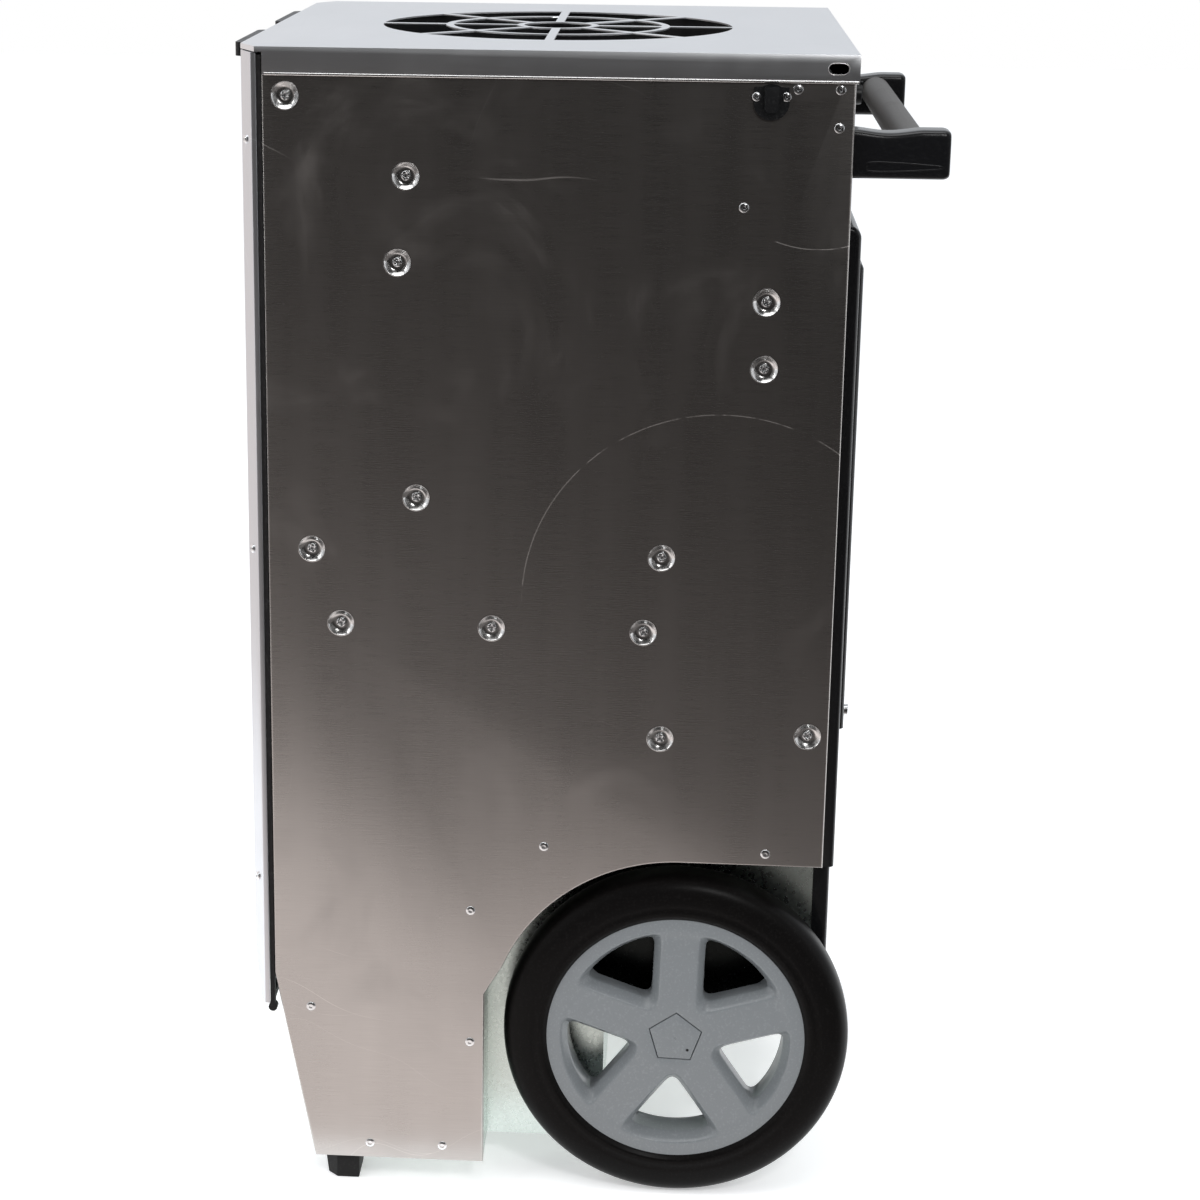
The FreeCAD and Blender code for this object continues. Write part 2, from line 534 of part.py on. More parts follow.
def switch_frame():
    """Raised surround of the main switch."""
    x, y, z = ROCKER_X, CONTROL_Y + 3, CONTROL_Z
    outer = box(x - 13, x + 13, y, y + 1.6, z - 16.5, z + 16.5)
    outer = rounded_edges(outer, 2.0, along((0, 1, 0)))
    return outer.cut(box(x - 10.8, x + 10.8, y - 1, y + 3, z - 14.3, z + 14.3))


def breaker_button():
    """Push button that resets the circuit breaker."""
    profile = [(0, -4), (5.6, -4), (5.6, 7), (4.8, 8), (0, 8)]
    return turned(profile, (BREAKER_X, CONTROL_Y, CONTROL_Z), (0, 1, 0))


def hour_meter():
    """Sealed running-hours meter set into the plate."""
    y, z = CONTROL_Y, CONTROL_Z
    body = box(METER_X - 24.8, METER_X + 24.8, y + 1, y + 4.5, z - 11.8, z + 11.8)
    return rounded_edges(body, 3.0, along((0, 1, 0)))


def indicator_lamps():
    """Three domed lamp lenses."""
    profile = [(0, 0.5), (3.9, 0.5), (3.9, 4.5), (3.0, 6.0), (1.4, 6.8), (0, 7.0)]
    return Part.makeCompound([turned(profile, (x, CONTROL_Y, CONTROL_Z), (0, 1, 0)) for x in LAMP_XS])


# ---- wheels -------------------------------------------------------------------------------------------
RIM_RADIUS = 131.0
WHEEL_HALF = WHEEL_WIDTH / 2
WHEEL_X = HALF - WHEEL_INSET - WHEEL_HALF          # middle plane of the right wheel
SPOKE_TURN = -1.5                                  # how far the upper spoke stands from upright, in degrees
HALF_SPOKE = 26.0                                  # half the width of a spoke, bevels included
WINDOW_OUTER, WINDOW_INNER = 110.0, 47.0           # radii between which a window lies
WINDOW_BEVEL = 7.0
HUB_BORE = AXLE_RADIUS + 3.0
BOSS_FACE = WHEEL_HALF - 14                        # outer end of the bushes, under the cap
CAP_SEAT = WHEEL_HALF - 8
CAP_RADIUS, CAP_THICK = 28.0, 3.4
RING_SEAT, RING_THICK = 9.0, 1.5                   # groove radius and thickness of the snap rings
AXLE_END = WHEEL_X + CAP_SEAT - 0.6


def wheel_frame(shape):
    """Places a shape built about +Z, with its outer face up, as the right wheel."""
    shape.rotate(V(0, 0, 0), V(0, 1, 0), 90)
    shape.translate(V(WHEEL_X, AXLE_Y, WHEEL_RADIUS))
    return shape


def hub_frame(shape):
    """Places a shape whose first spoke lies along -X as part of the right hub, that spoke upwards."""
    shape.rotate(V(0, 0, 0), V(0, 0, 1), SPOKE_TURN)
    return wheel_frame(shape)


def tyre():
    """Solid foam tyre: bulged sides, round shoulders and a nearly flat crown, all as arcs."""
    h, r = WHEEL_HALF, WHEEL_RADIUS
    half = [((RIM_RADIUS, h - 6), (RIM_RADIUS + 10, h - 1.2), (r - 22, h)),
            ((r - 22, h), (r - 9, h - 4), (r - 2.5, h - 15)),
            ((r - 2.5, h - 15), (r - 0.6, h - 22), (r, 0))]
    edges = []
    for a, m, b in half:
        edges.append(Part.Arc(V(a[0], 0, a[1]), V(m[0], 0, m[1]), V(b[0], 0, b[1])).toShape())
    for a, m, b in reversed(half):
        edges.append(Part.Arc(V(b[0], 0, -b[1]), V(m[0], 0, -m[1]), V(a[0], 0, -a[1])).toShape())
    edges.append(Part.LineSegment(V(RIM_RADIUS, 0, 6 - h), V(RIM_RADIUS, 0, h - 6)).toShape())
    return wheel_frame(Part.Face(Part.Wire(edges)).revolve(V(0, 0, 0), V(0, 0, 1), 360))


def window_outline(grow, z):
    """One rounded opening between two spokes, pointing along +X, grown outwards by a bevel."""
    half_spoke, outer, inner = HALF_SPOKE - grow, WINDOW_OUTER + grow * 0.6, WINDOW_INNER - grow * 1.2
    between = math.radians(36)
    corner = []
    for r in (inner, outer):
        a = max(between - math.asin(min(0.99, half_spoke / r)), math.radians(4))
        corner.append(V(r * math.cos(a), r * math.sin(a), z))
    low = [V(p.x, -p.y, z) for p in corner]
    arc_out = Part.Arc(corner[1], V(outer, 0, z), low[1]).toShape()
    arc_in = Part.Arc(low[0], V(inner, 0, z), corner[0]).toShape()
    return Part.Wire([Part.LineSegment(corner[0], corner[1]).toShape(), arc_out,
                      Part.LineSegment(low[1], low[0]).toShape(), arc_in])


def wheel_hub():
    """Five-spoke moulded hub: rim ring, spokes with bevelled sides, and a bored boss."""
    h = WHEEL_HALF
    boss, ring = 30.0, WINDOW_OUTER + 6
    disc = turned([(HUB_BORE, -h + 2), (boss, -h + 2), (boss, -6), (98, -6), (112, -h + 8),
                   (RIM_RADIUS, -h + 8), (RIM_RADIUS, h - 5), (ring, h - 5), (ring - 3, h - 7.5),
                   (34, h - 6), (18, h - 6), (18, BOSS_FACE), (HUB_BORE, BOSS_FACE)], (0, 0, 0), (0, 0, 1))
    bevel = Part.makeLoft([window_outline(0, h - 18), window_outline(WINDOW_BEVEL, h - 5)], True, True)
    through = Part.Face(window_outline(0, -h)).extrude(V(0, 0, 2 * h - 17.9))
    cutter = bevel.fuse(through)
    for k in range(5):
        one = cutter.copy()
        one.rotate(V(0, 0, 0), V(0, 0, 1), 72 * k + 36 + 180)
        disc = disc.cut(one)
    seat = pentagon(CAP_RADIUS + 0.4).extrude(V(0, 0, 10))
    seat.translate(V(0, 0, CAP_SEAT))
    return hub_frame(disc.cut(seat))


def pentagon(radius):
    """A flat five-sided face with one corner along -X."""
    turns = [math.radians(72 * k + 180) for k in range(6)]
    return Part.Face(Part.makePolygon([V(radius * math.cos(a), radius * math.sin(a), 0) for a in turns]))


def hub_cap():
    """Five-sided cap that covers the axle's end, with a small prising hole."""
    cap = pentagon(CAP_RADIUS).extrude(V(0, 0, CAP_THICK))
    cap.translate(V(0, 0, CAP_SEAT))
    cap = rounded_edges(cap, 0.8, lambda e: abs(e.CenterOfMass.z - (CAP_SEAT + CAP_THICK)) < 1e-6)
    return hub_frame(cap.cut(rod((12, 13, CAP_SEAT + 2), (0, 0, 1), 1.3, 10)))


def wheel_bushes():
    """Two plain bearing bushes pressed into the hub."""
    starts = (-WHEEL_HALF + 2, BOSS_FACE - 12)
    bushes = [tube((0, 0, z), (0, 0, 1), HUB_BORE, AXLE_RADIUS + FIT, 12) for z in starts]
    return wheel_frame(Part.makeCompound(bushes))


def retaining_ring():
    """Snap ring in the axle's groove, outside the outer bush."""
    ring = tube((0, 0, BOSS_FACE + GAP), (0, 0, 1), 14, RING_SEAT, RING_THICK)
    gap = box(-3, 3, -20, -5, BOSS_FACE, BOSS_FACE + 5)
    return wheel_frame(ring.cut(gap))


def axle():
    """Through axle with a groove near each end."""
    bar = rod((-AXLE_END, AXLE_Y, WHEEL_RADIUS), (1, 0, 0), AXLE_RADIUS, 2 * AXLE_END)
    groove = tube((WHEEL_X + BOSS_FACE + GAP, AXLE_Y, WHEEL_RADIUS), (1, 0, 0), 15, RING_SEAT, RING_THICK)
    return bar.cut(groove).cut(mirror(groove))


def axle_collars():
    """Collars and spacers that hold the axle and keep the wheels off the bay plates."""
    outer, width = 14.0, 14.0
    reach = WHEEL_X - WHEEL_HALF + 2 - GAP - BAY_X
    collar = tube((BAY_X - SHEET - width, AXLE_Y, WHEEL_RADIUS), (1, 0, 0), outer, AXLE_RADIUS, width)
    spacer = tube((BAY_X, AXLE_Y, WHEEL_RADIUS), (1, 0, 0), outer, AXLE_RADIUS, reach)
    return both_sides([collar, spacer])


# ---- air and cooling parts inside ---------------------------------------------------------------------
FAN_Y = Y0 + OUTLET_U
RING_Z = CASE_TOP - SHEET - 63.5       # underside of the fan ring's plate
FAN_Z = RING_Z + 6
COIL_HALF, COIL_BOTTOM, COIL_TOP = 205.0, 420.0, 970.0
CONDENSER_U, EVAPORATOR_U = (410.0, 470.0), (478.0, 528.0)
COMPRESSOR_U = 140.0
FLOOR_Z = CLEARANCE + 2 + SHEET
PIPE_X = 232.0                         # pipes pass beside the coils here


def fan_ring():
    """Inlet ring that guides the air into the outlet, hung under the lid."""
    wall = tube((0, FAN_Y, RING_Z + SHEET), (0, 0, 1), 184, 182.5, 62)
    plate = box(-200, 200, FAN_Y - 200, FAN_Y + 200, RING_Z, RING_Z + SHEET)
    return wall.fuse(plate.cut(rod((0, FAN_Y, RING_Z - 5), (0, 0, 1), 182.5, 20))).removeSplitter()


def fan_bracket():
    """Four flat arms and a cup that carry the fan's spindle under its blades."""
    arms = [box(-195, 195, -7, 7, 0, 3) for _ in range(2)]
    arms[1].rotate(V(0, 0, 0), V(0, 0, 1), 90)
    made = fuse(arms + [rod((0, 0, 0), (0, 0, 1), 58, 3)])
    made.rotate(V(0, 0, 0), V(0, 0, 1), 22.5)
    made.translate(V(0, FAN_Y, RING_Z - 3))
    return made.cut(rod((0, FAN_Y, RING_Z - 10), (0, 0, 1), 16, 20))


def fan_motor():
    """Stator housing under the bracket, with the fixed spindle that the fan turns on."""
    profile = [(0, -66), (38, -66), (46, -58), (46, 0), (15.8, 0), (15.8, 7), (5, 7), (5, 28), (0, 28)]
    return turned(profile, (0, FAN_Y, RING_Z - 3), (0, 0, 1))


def fan_impeller():
    """Hub and five pitched blades."""
    hub = turned([(5 + FIT, 0), (42, 0), (42, 26), (36, 30), (5 + FIT, 30)], (0, 0, 0), (0, 0, 1))
    blades = []
    for k in range(5):
        root = [V(36, -26, 3), V(36, 26, 24), V(36, 26, 26.5), V(36, -26, 5.5)]
        tip = [V(170, -44, 6), V(170, 44, 21), V(170, 44, 23), V(170, -44, 8)]
        ends = [Part.makePolygon(root + root[:1]), Part.makePolygon(tip + tip[:1])]
        blade = Part.makeLoft(ends, True, True)
        blade = blade.cut(rod((0, 0, -5), (0, 0, 1), 10, 50))
        blade.rotate(V(0, 0, 0), V(0, 0, 1), 72 * k)
        blades.append(blade)
    made = fuse([hub] + blades)
    made.translate(V(0, FAN_Y, FAN_Z))
    return made


def coil(span, pitch):
    """A finned heat exchanger: end plates, thin fins, and the tubes that pass through them."""
    y0, y1 = Y0 + span[0], Y0 + span[1]
    plates = [box(x, x + 2, y0, y1, COIL_BOTTOM, COIL_TOP) for x in (-COIL_HALF, COIL_HALF - 2)]
    count = int(2 * (COIL_HALF - 4) / pitch)
    fins = []
    for k in range(count + 1):
        x = -COIL_HALF + 4 + k * pitch
        fins.append(box(x, x + 0.6, y0 + 3, y1 - 3, COIL_BOTTOM + 4, COIL_TOP - 4))
    middle = (y0 + y1) / 2
    tubes = []
    for k in range(7):
        z = COIL_BOTTOM + 40 + k * 78
        tubes.append(rod((-COIL_HALF, middle, z), (1, 0, 0), 4, 2 * COIL_HALF))
    return fuse(plates + fins + tubes)


def coil_return_bends():
    """Copper return bends at the left end of both coils, each a half ring."""
    made = []
    for span in (CONDENSER_U, EVAPORATOR_U):
        y = Y0 + (span[0] + span[1]) / 2
        for k in range(6):
            z = COIL_BOTTOM + 79 + k * 78
            ring = Part.makeTorus(39, 4.0, V(-COIL_HALF, y, z), V(0, 1, 0))
            squashed = box(-COIL_HALF - 60, -COIL_HALF, y - 10, y + 10, z - 50, z + 50)
            if k % 2 == 0:
                made.append(ring.common(squashed))
    return Part.makeCompound(made)


def drip_tray():
    """Moulded tray under both coils."""
    z0 = COIL_BOTTOM - 32
    tray = box(-216, 216, Y0 + 398, Y0 + 540, z0, z0 + 30)
    return tray.cut(box(-213, 213, Y0 + 401, Y0 + 537, z0 + 3, z0 + 31))


def drain_outlet():
    """Brass drain spigot: a collar behind the cover, a neck in the cover's hole and a plain stub outside."""
    y, stub_y = REAR_Y + 9, REAR_Y + 12.5
    collar = rod((DRAIN_X, y - 12, DRAIN_Z), (0, 1, 0), DRAIN_COLLAR, 12)
    neck = rod((DRAIN_X, y, DRAIN_Z), (0, 1, 0), DRAIN_NECK, stub_y - y)
    stub = rod((DRAIN_X, stub_y, DRAIN_Z), (0, 1, 0), DRAIN_RADIUS, DRAIN_STUB)
    bore = rod((DRAIN_X, y - 13, DRAIN_Z), (0, 1, 0), 5.5, 60)
    return collar.fuse([neck, stub]).cut(bore).removeSplitter()


def compressor():
    """Hermetic compressor: a thick-walled can with domed ends, a terminal cover, stubs and a foot plate."""
    y, z = Y0 + COMPRESSOR_U, FLOOR_Z + 24.5
    outside = [(0, 0), (60, 0), (78, 12), (82, 30), (82, 215), (74, 240), (50, 256), (0, 262)]
    inside = [(0, 8), (57, 8), (71, 18), (74, 32), (74, 213), (67, 234), (47, 248), (0, 254)]
    can = turned(outside, (0, y, z), (0, 0, 1)).cut(turned(inside, (0, y, z), (0, 0, 1)))
    can = can.fuse(box(75, 102, y - 28, y + 28, z + 90, z + 165))
    stubs = [rod((x, y - 30, z + 250), (0, 0, 1), 7, 20) for x in (-40, 40)]
    plate = box(-100, 100, y - 70, y + 70, z - 4, z)
    return fuse([can, plate] + stubs)


def compressor_mounts():
    """Four rubber bushes between the compressor and the base."""
    spots = [(x, Y0 + COMPRESSOR_U + y) for x in (-85, 85) for y in (-55, 55)]
    return Part.makeCompound([tube((x, y, FLOOR_Z), (0, 0, 1), 14, 5, 20.5) for x, y in spots])


def refrigerant_pipes():
    """Suction and discharge pipes from the compressor up to the coils."""
    pipes = []
    for side, top, radius, u in ((-1, 900, 6.0, 503), (1, 760, 5.0, 440)):
        y, stub_top, edge = Y0 + COMPRESSOR_U - 30, FLOOR_Z + 294.5, side * PIPE_X
        run = [V(side * 40, y, stub_top), V(side * 40, y, top), V(edge, y, top), V(edge, Y0 + u, top),
               V(side * COIL_HALF, Y0 + u, top)]
        legs = [Part.makeCylinder(radius, (b - a).Length, a, b - a) for a, b in zip(run, run[1:])]
        elbows = [Part.makeSphere(radius, p) for p in run[1:-1]]
        pipes.append(fuse(legs + elbows))
    return Part.makeCompound(pipes)


def electrical_box():
    """Sheet box behind the controls, open towards them."""
    shell = box(-190, 232, REAR_Y - 70, REAR_Y - 14, 1040, CASE_TOP - 30)
    return shell.cut(box(-188, 230, REAR_Y - 68, REAR_Y - 13, 1042, CASE_TOP - 32))


def control_board():
    """Circuit board with five relays."""
    y = REAR_Y - 60
    board = box(-60, 220, y, y + 2, 1056, 1128)
    relays = [box(x, x + 24, y + 2, y + 20, 1078, 1106) for x in (-40, 0, 60, 100, 160)]
    return fuse([board] + relays)


def run_capacitor():
    """Round capacitor lying along the box's end."""
    return rod((-180, REAR_Y - 42, 1066), (1, 0, 0), 20, 90)


def air_baffle():
    """Sheet that closes the space around the coils, so that all the air passes through them."""
    y0, y1 = Y0 + 392, Y0 + 394
    sheet = box(-284, 284, y0, y1, ARCH_TOP + 16, 1036)
    sheet = sheet.cut(box(-COIL_HALF + 6, COIL_HALF - 6, y0 - 1, y1 + 1, COIL_BOTTOM + 6, COIL_TOP - 6))
    passages = [rod((x, y0 - 1, z), (0, 1, 0), 9, 10) for x, z in ((-PIPE_X, 900), (PIPE_X, 760))]
    return sheet.cut(Part.makeCompound(passages))


# ---- every node ---------------------------------------------------------------------------------------
SINGLE = [top_lid, front_cover, front_gasket, front_grips, rear_panel, base_chassis, front_feet,
          rear_lower_cover, panel_screws, panel_rivets, front_cover_screws, handle_bolts, power_inlet,
          handle_tube, handle_grip, filter_bezel, filter_door, filter_pad, control_plate,
          hygrostat_knob, switch_rocker, switch_frame, breaker_button, hour_meter, indicator_lamps,
          axle, axle_collars, fan_ring, fan_bracket, fan_motor, fan_impeller, coil_return_bends,
          drip_tray, drain_outlet, compressor, compressor_mounts, refrigerant_pipes, electrical_box,
          control_board, run_capacitor, air_baffle]
PAIRED = [side_panel, wheelhouse, handle_bracket, latch_knob, tyre, wheel_hub, hub_cap, wheel_bushes]


def build():
    """Every node by name; paired parts are made on the right and mirrored to the left."""
    nodes = {make.__name__: make() for make in SINGLE}
    nodes["condenser_coil"] = coil(CONDENSER_U, 8.0)
    nodes["evaporator_coil"] = coil(EVAPORATOR_U, 10.0)
    for make in PAIRED:
        nodes[make.__name__ + "_right"] = make()
        nodes[make.__name__ + "_left"] = mirror(nodes[make.__name__ + "_right"])
    nodes["retaining_rings"] = both_sides([retaining_ring()])
    return nodes


if __name__ == "__main__":
    os.makedirs("parts", exist_ok=True)
    for node, shape in build().items():
        shape.exportStep(f"parts/{node}.step")
        print(node, len(shape.Solids), "solids, valid", shape.isValid())
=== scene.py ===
# %% [markdown]
# # A large mobile dehumidifier, finished in Blender
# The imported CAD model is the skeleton: every size, place and moving body comes from it. This lesson adds the
# looks: surfaces worked out with numpy for folded sheet, mouldings, tyres and screws, and procedural finishes.

# %% Load the frame
import json
import math

import bmesh
import bpy
import numpy as np
from mathutils import Matrix, Vector
from mathutils.geometry import tessellate_polygon


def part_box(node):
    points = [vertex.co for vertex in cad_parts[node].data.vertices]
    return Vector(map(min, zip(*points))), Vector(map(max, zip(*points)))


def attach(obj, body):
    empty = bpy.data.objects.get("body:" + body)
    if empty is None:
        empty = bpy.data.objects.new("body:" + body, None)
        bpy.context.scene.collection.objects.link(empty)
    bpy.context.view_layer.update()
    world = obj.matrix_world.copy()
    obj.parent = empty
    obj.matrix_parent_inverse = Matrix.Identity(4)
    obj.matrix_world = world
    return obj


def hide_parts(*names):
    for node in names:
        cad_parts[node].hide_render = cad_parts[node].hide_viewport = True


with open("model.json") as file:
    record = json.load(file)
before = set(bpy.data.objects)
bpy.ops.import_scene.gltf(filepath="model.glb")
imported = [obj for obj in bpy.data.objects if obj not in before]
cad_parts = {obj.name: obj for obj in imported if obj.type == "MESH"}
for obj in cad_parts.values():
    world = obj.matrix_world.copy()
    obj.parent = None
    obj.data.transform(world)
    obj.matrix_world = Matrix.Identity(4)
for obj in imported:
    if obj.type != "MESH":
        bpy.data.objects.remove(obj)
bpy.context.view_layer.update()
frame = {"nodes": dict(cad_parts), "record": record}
MM = 0.001
slot_of = {part["node"]: part["material_slot"] for part in frame["record"]["subparts"]}
body_of = {node: body for body, nodes in frame["record"]["behaviour"]["bodies"].items() for node in nodes}

# %% [markdown]
# ## Driving measures
# Everything below is read from the CAD nodes' boxes, so a new pack moves the looks with it. The casing's side
# panels give the width and length, the tyre gives the wheel, and the lid gives the top.

# %% Measures of the machine
panel_low, panel_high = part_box("side_panel_right")
lid_low, lid_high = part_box("top_lid")
tyre_low, tyre_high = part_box("tyre_right")
HALF = panel_high.x
FRONT, REAR = panel_low.y, panel_high.y
TOP, LID_BOTTOM = lid_high.z, lid_low.z
AXLE_Y, AXLE_Z = (tyre_low.y + tyre_high.y) / 2, (tyre_low.z + tyre_high.z) / 2
WHEEL_X = (tyre_low.x + tyre_high.x) / 2
WHEEL_RADIUS = tyre_high.z - AXLE_Z
print("casing", HALF * 2, "x", REAR - FRONT, "top", TOP, "wheel radius", WHEEL_RADIUS)

# %% [markdown]
# ## Camera, floor and soft light
# The camera stands off the right side, a little above the lid. The steel side is a mirror for whatever stands
# opposite it, so three cards that only reflections can see stand round it. The side card darkens upwards and
# gives the panel its dark upper part, the floor card lights the lower part, and the front card the chamfer.

# %% Camera
AIM = Vector((0.0, FRONT + 0.389, 1.386))
CAMERA_X = 2.692
YAW, PITCH, ROLL = math.radians(-3.87), math.radians(15.01), math.radians(0.5)
camera_data = bpy.data.cameras.new("camera")
camera_data.lens = 77.6
camera_data.sensor_width = 36.0
camera_data.shift_x, camera_data.shift_y = 0.083, -0.083
camera_data.clip_start, camera_data.clip_end = 0.05, 60.0
camera = bpy.data.objects.new("camera", camera_data)
bpy.context.scene.collection.objects.link(camera)
forward = Vector((-math.cos(YAW) * math.cos(PITCH), math.sin(YAW) * math.cos(PITCH), -math.sin(PITCH)))
level_right = Vector((math.sin(YAW), math.cos(YAW), 0.0))
level_up = level_right.cross(forward).normalized()
right = level_right * math.cos(ROLL) + level_up * math.sin(ROLL)
up = level_up * math.cos(ROLL) - level_right * math.sin(ROLL)
camera.matrix_world = Matrix((
    (right.x, up.x, -forward.x, CAMERA_X),
    (right.y, up.y, -forward.y, AIM.y),
    (right.z, up.z, -forward.z, AIM.z),
    (0.0, 0.0, 0.0, 1.0)))
bpy.context.scene.camera = camera
bpy.context.scene.view_settings.view_transform = "Standard"
print("camera", round(CAMERA_X - HALF, 3), "m off the side, lens", camera_data.lens)


# %% Floor, world and lights
def plane(name, centre, across, along):
    """A flat rectangle: centre plus or minus the two half-side vectors."""
    c, a, b = Vector(centre), Vector(across), Vector(along)
    mesh = bpy.data.meshes.new(name)
    mesh.from_pydata([c - a - b, c + a - b, c + a + b, c - a + b], [], [(0, 1, 2, 3)])
    piece = bpy.data.objects.new(name, mesh)
    bpy.context.scene.collection.objects.link(piece)
    return piece


def plain_material(name, colour, roughness):
    """One even paint, for the studio floor only."""
    material = bpy.data.materials.new(name)
    material.use_nodes = True
    shader = material.node_tree.nodes["Principled BSDF"]
    shader.inputs["Base Color"].default_value = (*colour, 1.0)
    shader.inputs["Roughness"].default_value = roughness
    return material


floor = plane("floor", (0, 0, 0), (12, 0, 0), (0, 12, 0))
floor_paint = plain_material("floor_paint", (0.9, 0.9, 0.9), 0.9)
floor_shader = floor_paint.node_tree.nodes["Principled BSDF"]
floor_shader.inputs["Emission Color"].default_value = (1.0, 1.0, 1.0, 1.0)
floor_shader.inputs["Emission Strength"].default_value = 0.34
floor.data.materials.append(floor_paint)


CARD_TINT = (1.0, 0.93, 0.905)


def glow_material(name, axis, tilt, start, stops):
    """A soft emission: strength follows v = axis coordinate - start + tilt * y, given as stops (v, strength)."""
    end = stops[-1][0]
    material = bpy.data.materials.new(name)
    material.use_nodes = True
    nodes, links = material.node_tree.nodes, material.node_tree.links
    nodes.clear()
    place = nodes.new("ShaderNodeTexCoord")
    split = nodes.new("ShaderNodeSeparateXYZ")
    share = nodes.new("ShaderNodeMapRange")
    ramp = nodes.new("ShaderNodeValToRGB")
    glow = nodes.new("ShaderNodeEmission")
    out = nodes.new("ShaderNodeOutputMaterial")
    share.inputs["From Min"].default_value = stops[0][0]
    share.inputs["From Max"].default_value = end
    slant = nodes.new("ShaderNodeMath")
    slant.operation = "MULTIPLY_ADD"
    slant.inputs[1].default_value = tilt
    shift = nodes.new("ShaderNodeMath")
    shift.operation = "SUBTRACT"
    shift.inputs[1].default_value = start
    while len(ramp.color_ramp.elements) < len(stops):
        ramp.color_ramp.elements.new(0.5)
    for element, (position, strength) in zip(ramp.color_ramp.elements, stops):
        element.position = (position - stops[0][0]) / (end - stops[0][0])
        element.color = (*(strength * part for part in CARD_TINT), 1.0)
    links.new(place.outputs["Object"], split.inputs[0])
    links.new(split.outputs[axis], shift.inputs[0])
    links.new(split.outputs["Y"], slant.inputs[0])
    links.new(shift.outputs[0], slant.inputs[2])
    links.new(slant.outputs[0], share.inputs["Value"])
    links.new(share.outputs["Result"], ramp.inputs["Fac"])
    links.new(ramp.outputs["Color"], glow.inputs["Color"])
    links.new(glow.outputs["Emission"], out.inputs["Surface"])
    return material


def reflected_card(name, centre, across, along, material):
    """A studio card that only reflections see."""
    card = plane(name, centre, across, along)
    card.data.materials.append(material)
    card.visible_camera = False
    card.visible_diffuse = False
    card.visible_shadow = False
    card.visible_transmission = False


CARD_X, CARD_TOP, CARD_HALF = HALF + 1.05, 4.6, 3.2
FLOOR_CARD_START = HALF + 0.06
SIDE_STOPS = [(-0.25, 0.36), (-0.16, 0.25), (-0.07, 0.15), (-0.017, 0.12), (0.14, 0.115), (0.45, 0.050),
              (1.0, 0.016), (2.2, 0.009), (CARD_TOP, 0.006)]
FLOOR_STOPS = [(-0.1, 0.98), (0.175, 1.0), (0.42, 0.80), (0.70, 0.27), (0.89, 0.155), (1.05, 0.13), (1.4, 0.14)]
FLOOR_CARD_X, FLOOR_CARD_HALF = (CARD_X + FLOOR_CARD_START) / 2, (CARD_X - FLOOR_CARD_START) / 2
reflected_card("side_card", (CARD_X, 0.1, CARD_TOP / 2), (0, CARD_HALF, 0), (0, 0, CARD_TOP / 2),
               glow_material("side_card_glow", "Z", 0.45, 0.0, SIDE_STOPS))
reflected_card("floor_card", (FLOOR_CARD_X, 0.1, 0.004), (FLOOR_CARD_HALF, 0, 0), (0, CARD_HALF, 0),
               glow_material("floor_card_glow", "X", 1.0, HALF, FLOOR_STOPS))
reflected_card("front_card", (-1.6, FRONT - 1.0, 1.5), (1.9, 0, 0), (0, 0, 1.5),
               glow_material("front_card_glow", "Z", 0.0, 0.0, [(0.0, 0.86), (3.0, 0.86)]))

world = bpy.data.worlds.new("studio")
bpy.context.scene.world = world
world.use_nodes = True
sky = world.node_tree.nodes
sky.clear()
sky_links = world.node_tree.links
seen = sky.new("ShaderNodeLightPath")
surround = sky.new("ShaderNodeBackground")
backdrop = sky.new("ShaderNodeBackground")
choose = sky.new("ShaderNodeMixShader")
sky_out = sky.new("ShaderNodeOutputWorld")
surround.inputs["Color"].default_value = (0.93, 0.96, 1.0, 1.0)
surround.inputs["Strength"].default_value = 0.80
backdrop.inputs["Color"].default_value = (1.0, 1.0, 1.0, 1.0)
backdrop.inputs["Strength"].default_value = 1.0
sky_links.new(seen.outputs["Is Camera Ray"], choose.inputs["Fac"])
sky_links.new(surround.outputs[0], choose.inputs[1])
sky_links.new(backdrop.outputs[0], choose.inputs[2])
sky_links.new(choose.outputs[0], sky_out.inputs["Surface"])


def soft_light(name, place, aim, size, power, gloss=1.0):
    """An area light at a place, turned to aim; gloss scales what it adds to reflections."""
    data = bpy.data.lights.new(name, "AREA")
    data.specular_factor = gloss
    data.shape = "RECTANGLE"
    data.size, data.size_y = size
    data.energy = power
    lamp = bpy.data.objects.new(name, data)
    bpy.context.scene.collection.objects.link(lamp)
    lamp.location = place
    lamp.rotation_mode = "QUATERNION"
    lamp.rotation_quaternion = (Vector(place) - Vector(aim)).to_track_quat("Z", "Y")
    return lamp


soft_light("overhead", (0.6, -0.4, 3.4), (0, 0, 0.4), (2.6, 2.6), 46.0)
soft_light("front_left", (1.7, -2.6, 1.9), (0.1, 0, 0.6), (1.2, 1.8), 26.0, 0.25)
soft_light("rear_right", (1.9, 2.7, 1.7), (0.1, 0, 0.6), (1.0, 1.6), 20.0, 0.25)
soft_light("key", (2.9, 1.1, 2.9), (0.3, 0.1, 0.2), (0.5, 0.5), 30.0)
print(len(bpy.data.lights), "lights")

# %% [markdown]
# ## Making surfaces with whole arrays
# A shape here is a grid of points: one direction runs round or along it, the other runs across its profile.
# One helper turns any such grid into quads, closing it in either direction, so no shape needs a vertex loop.


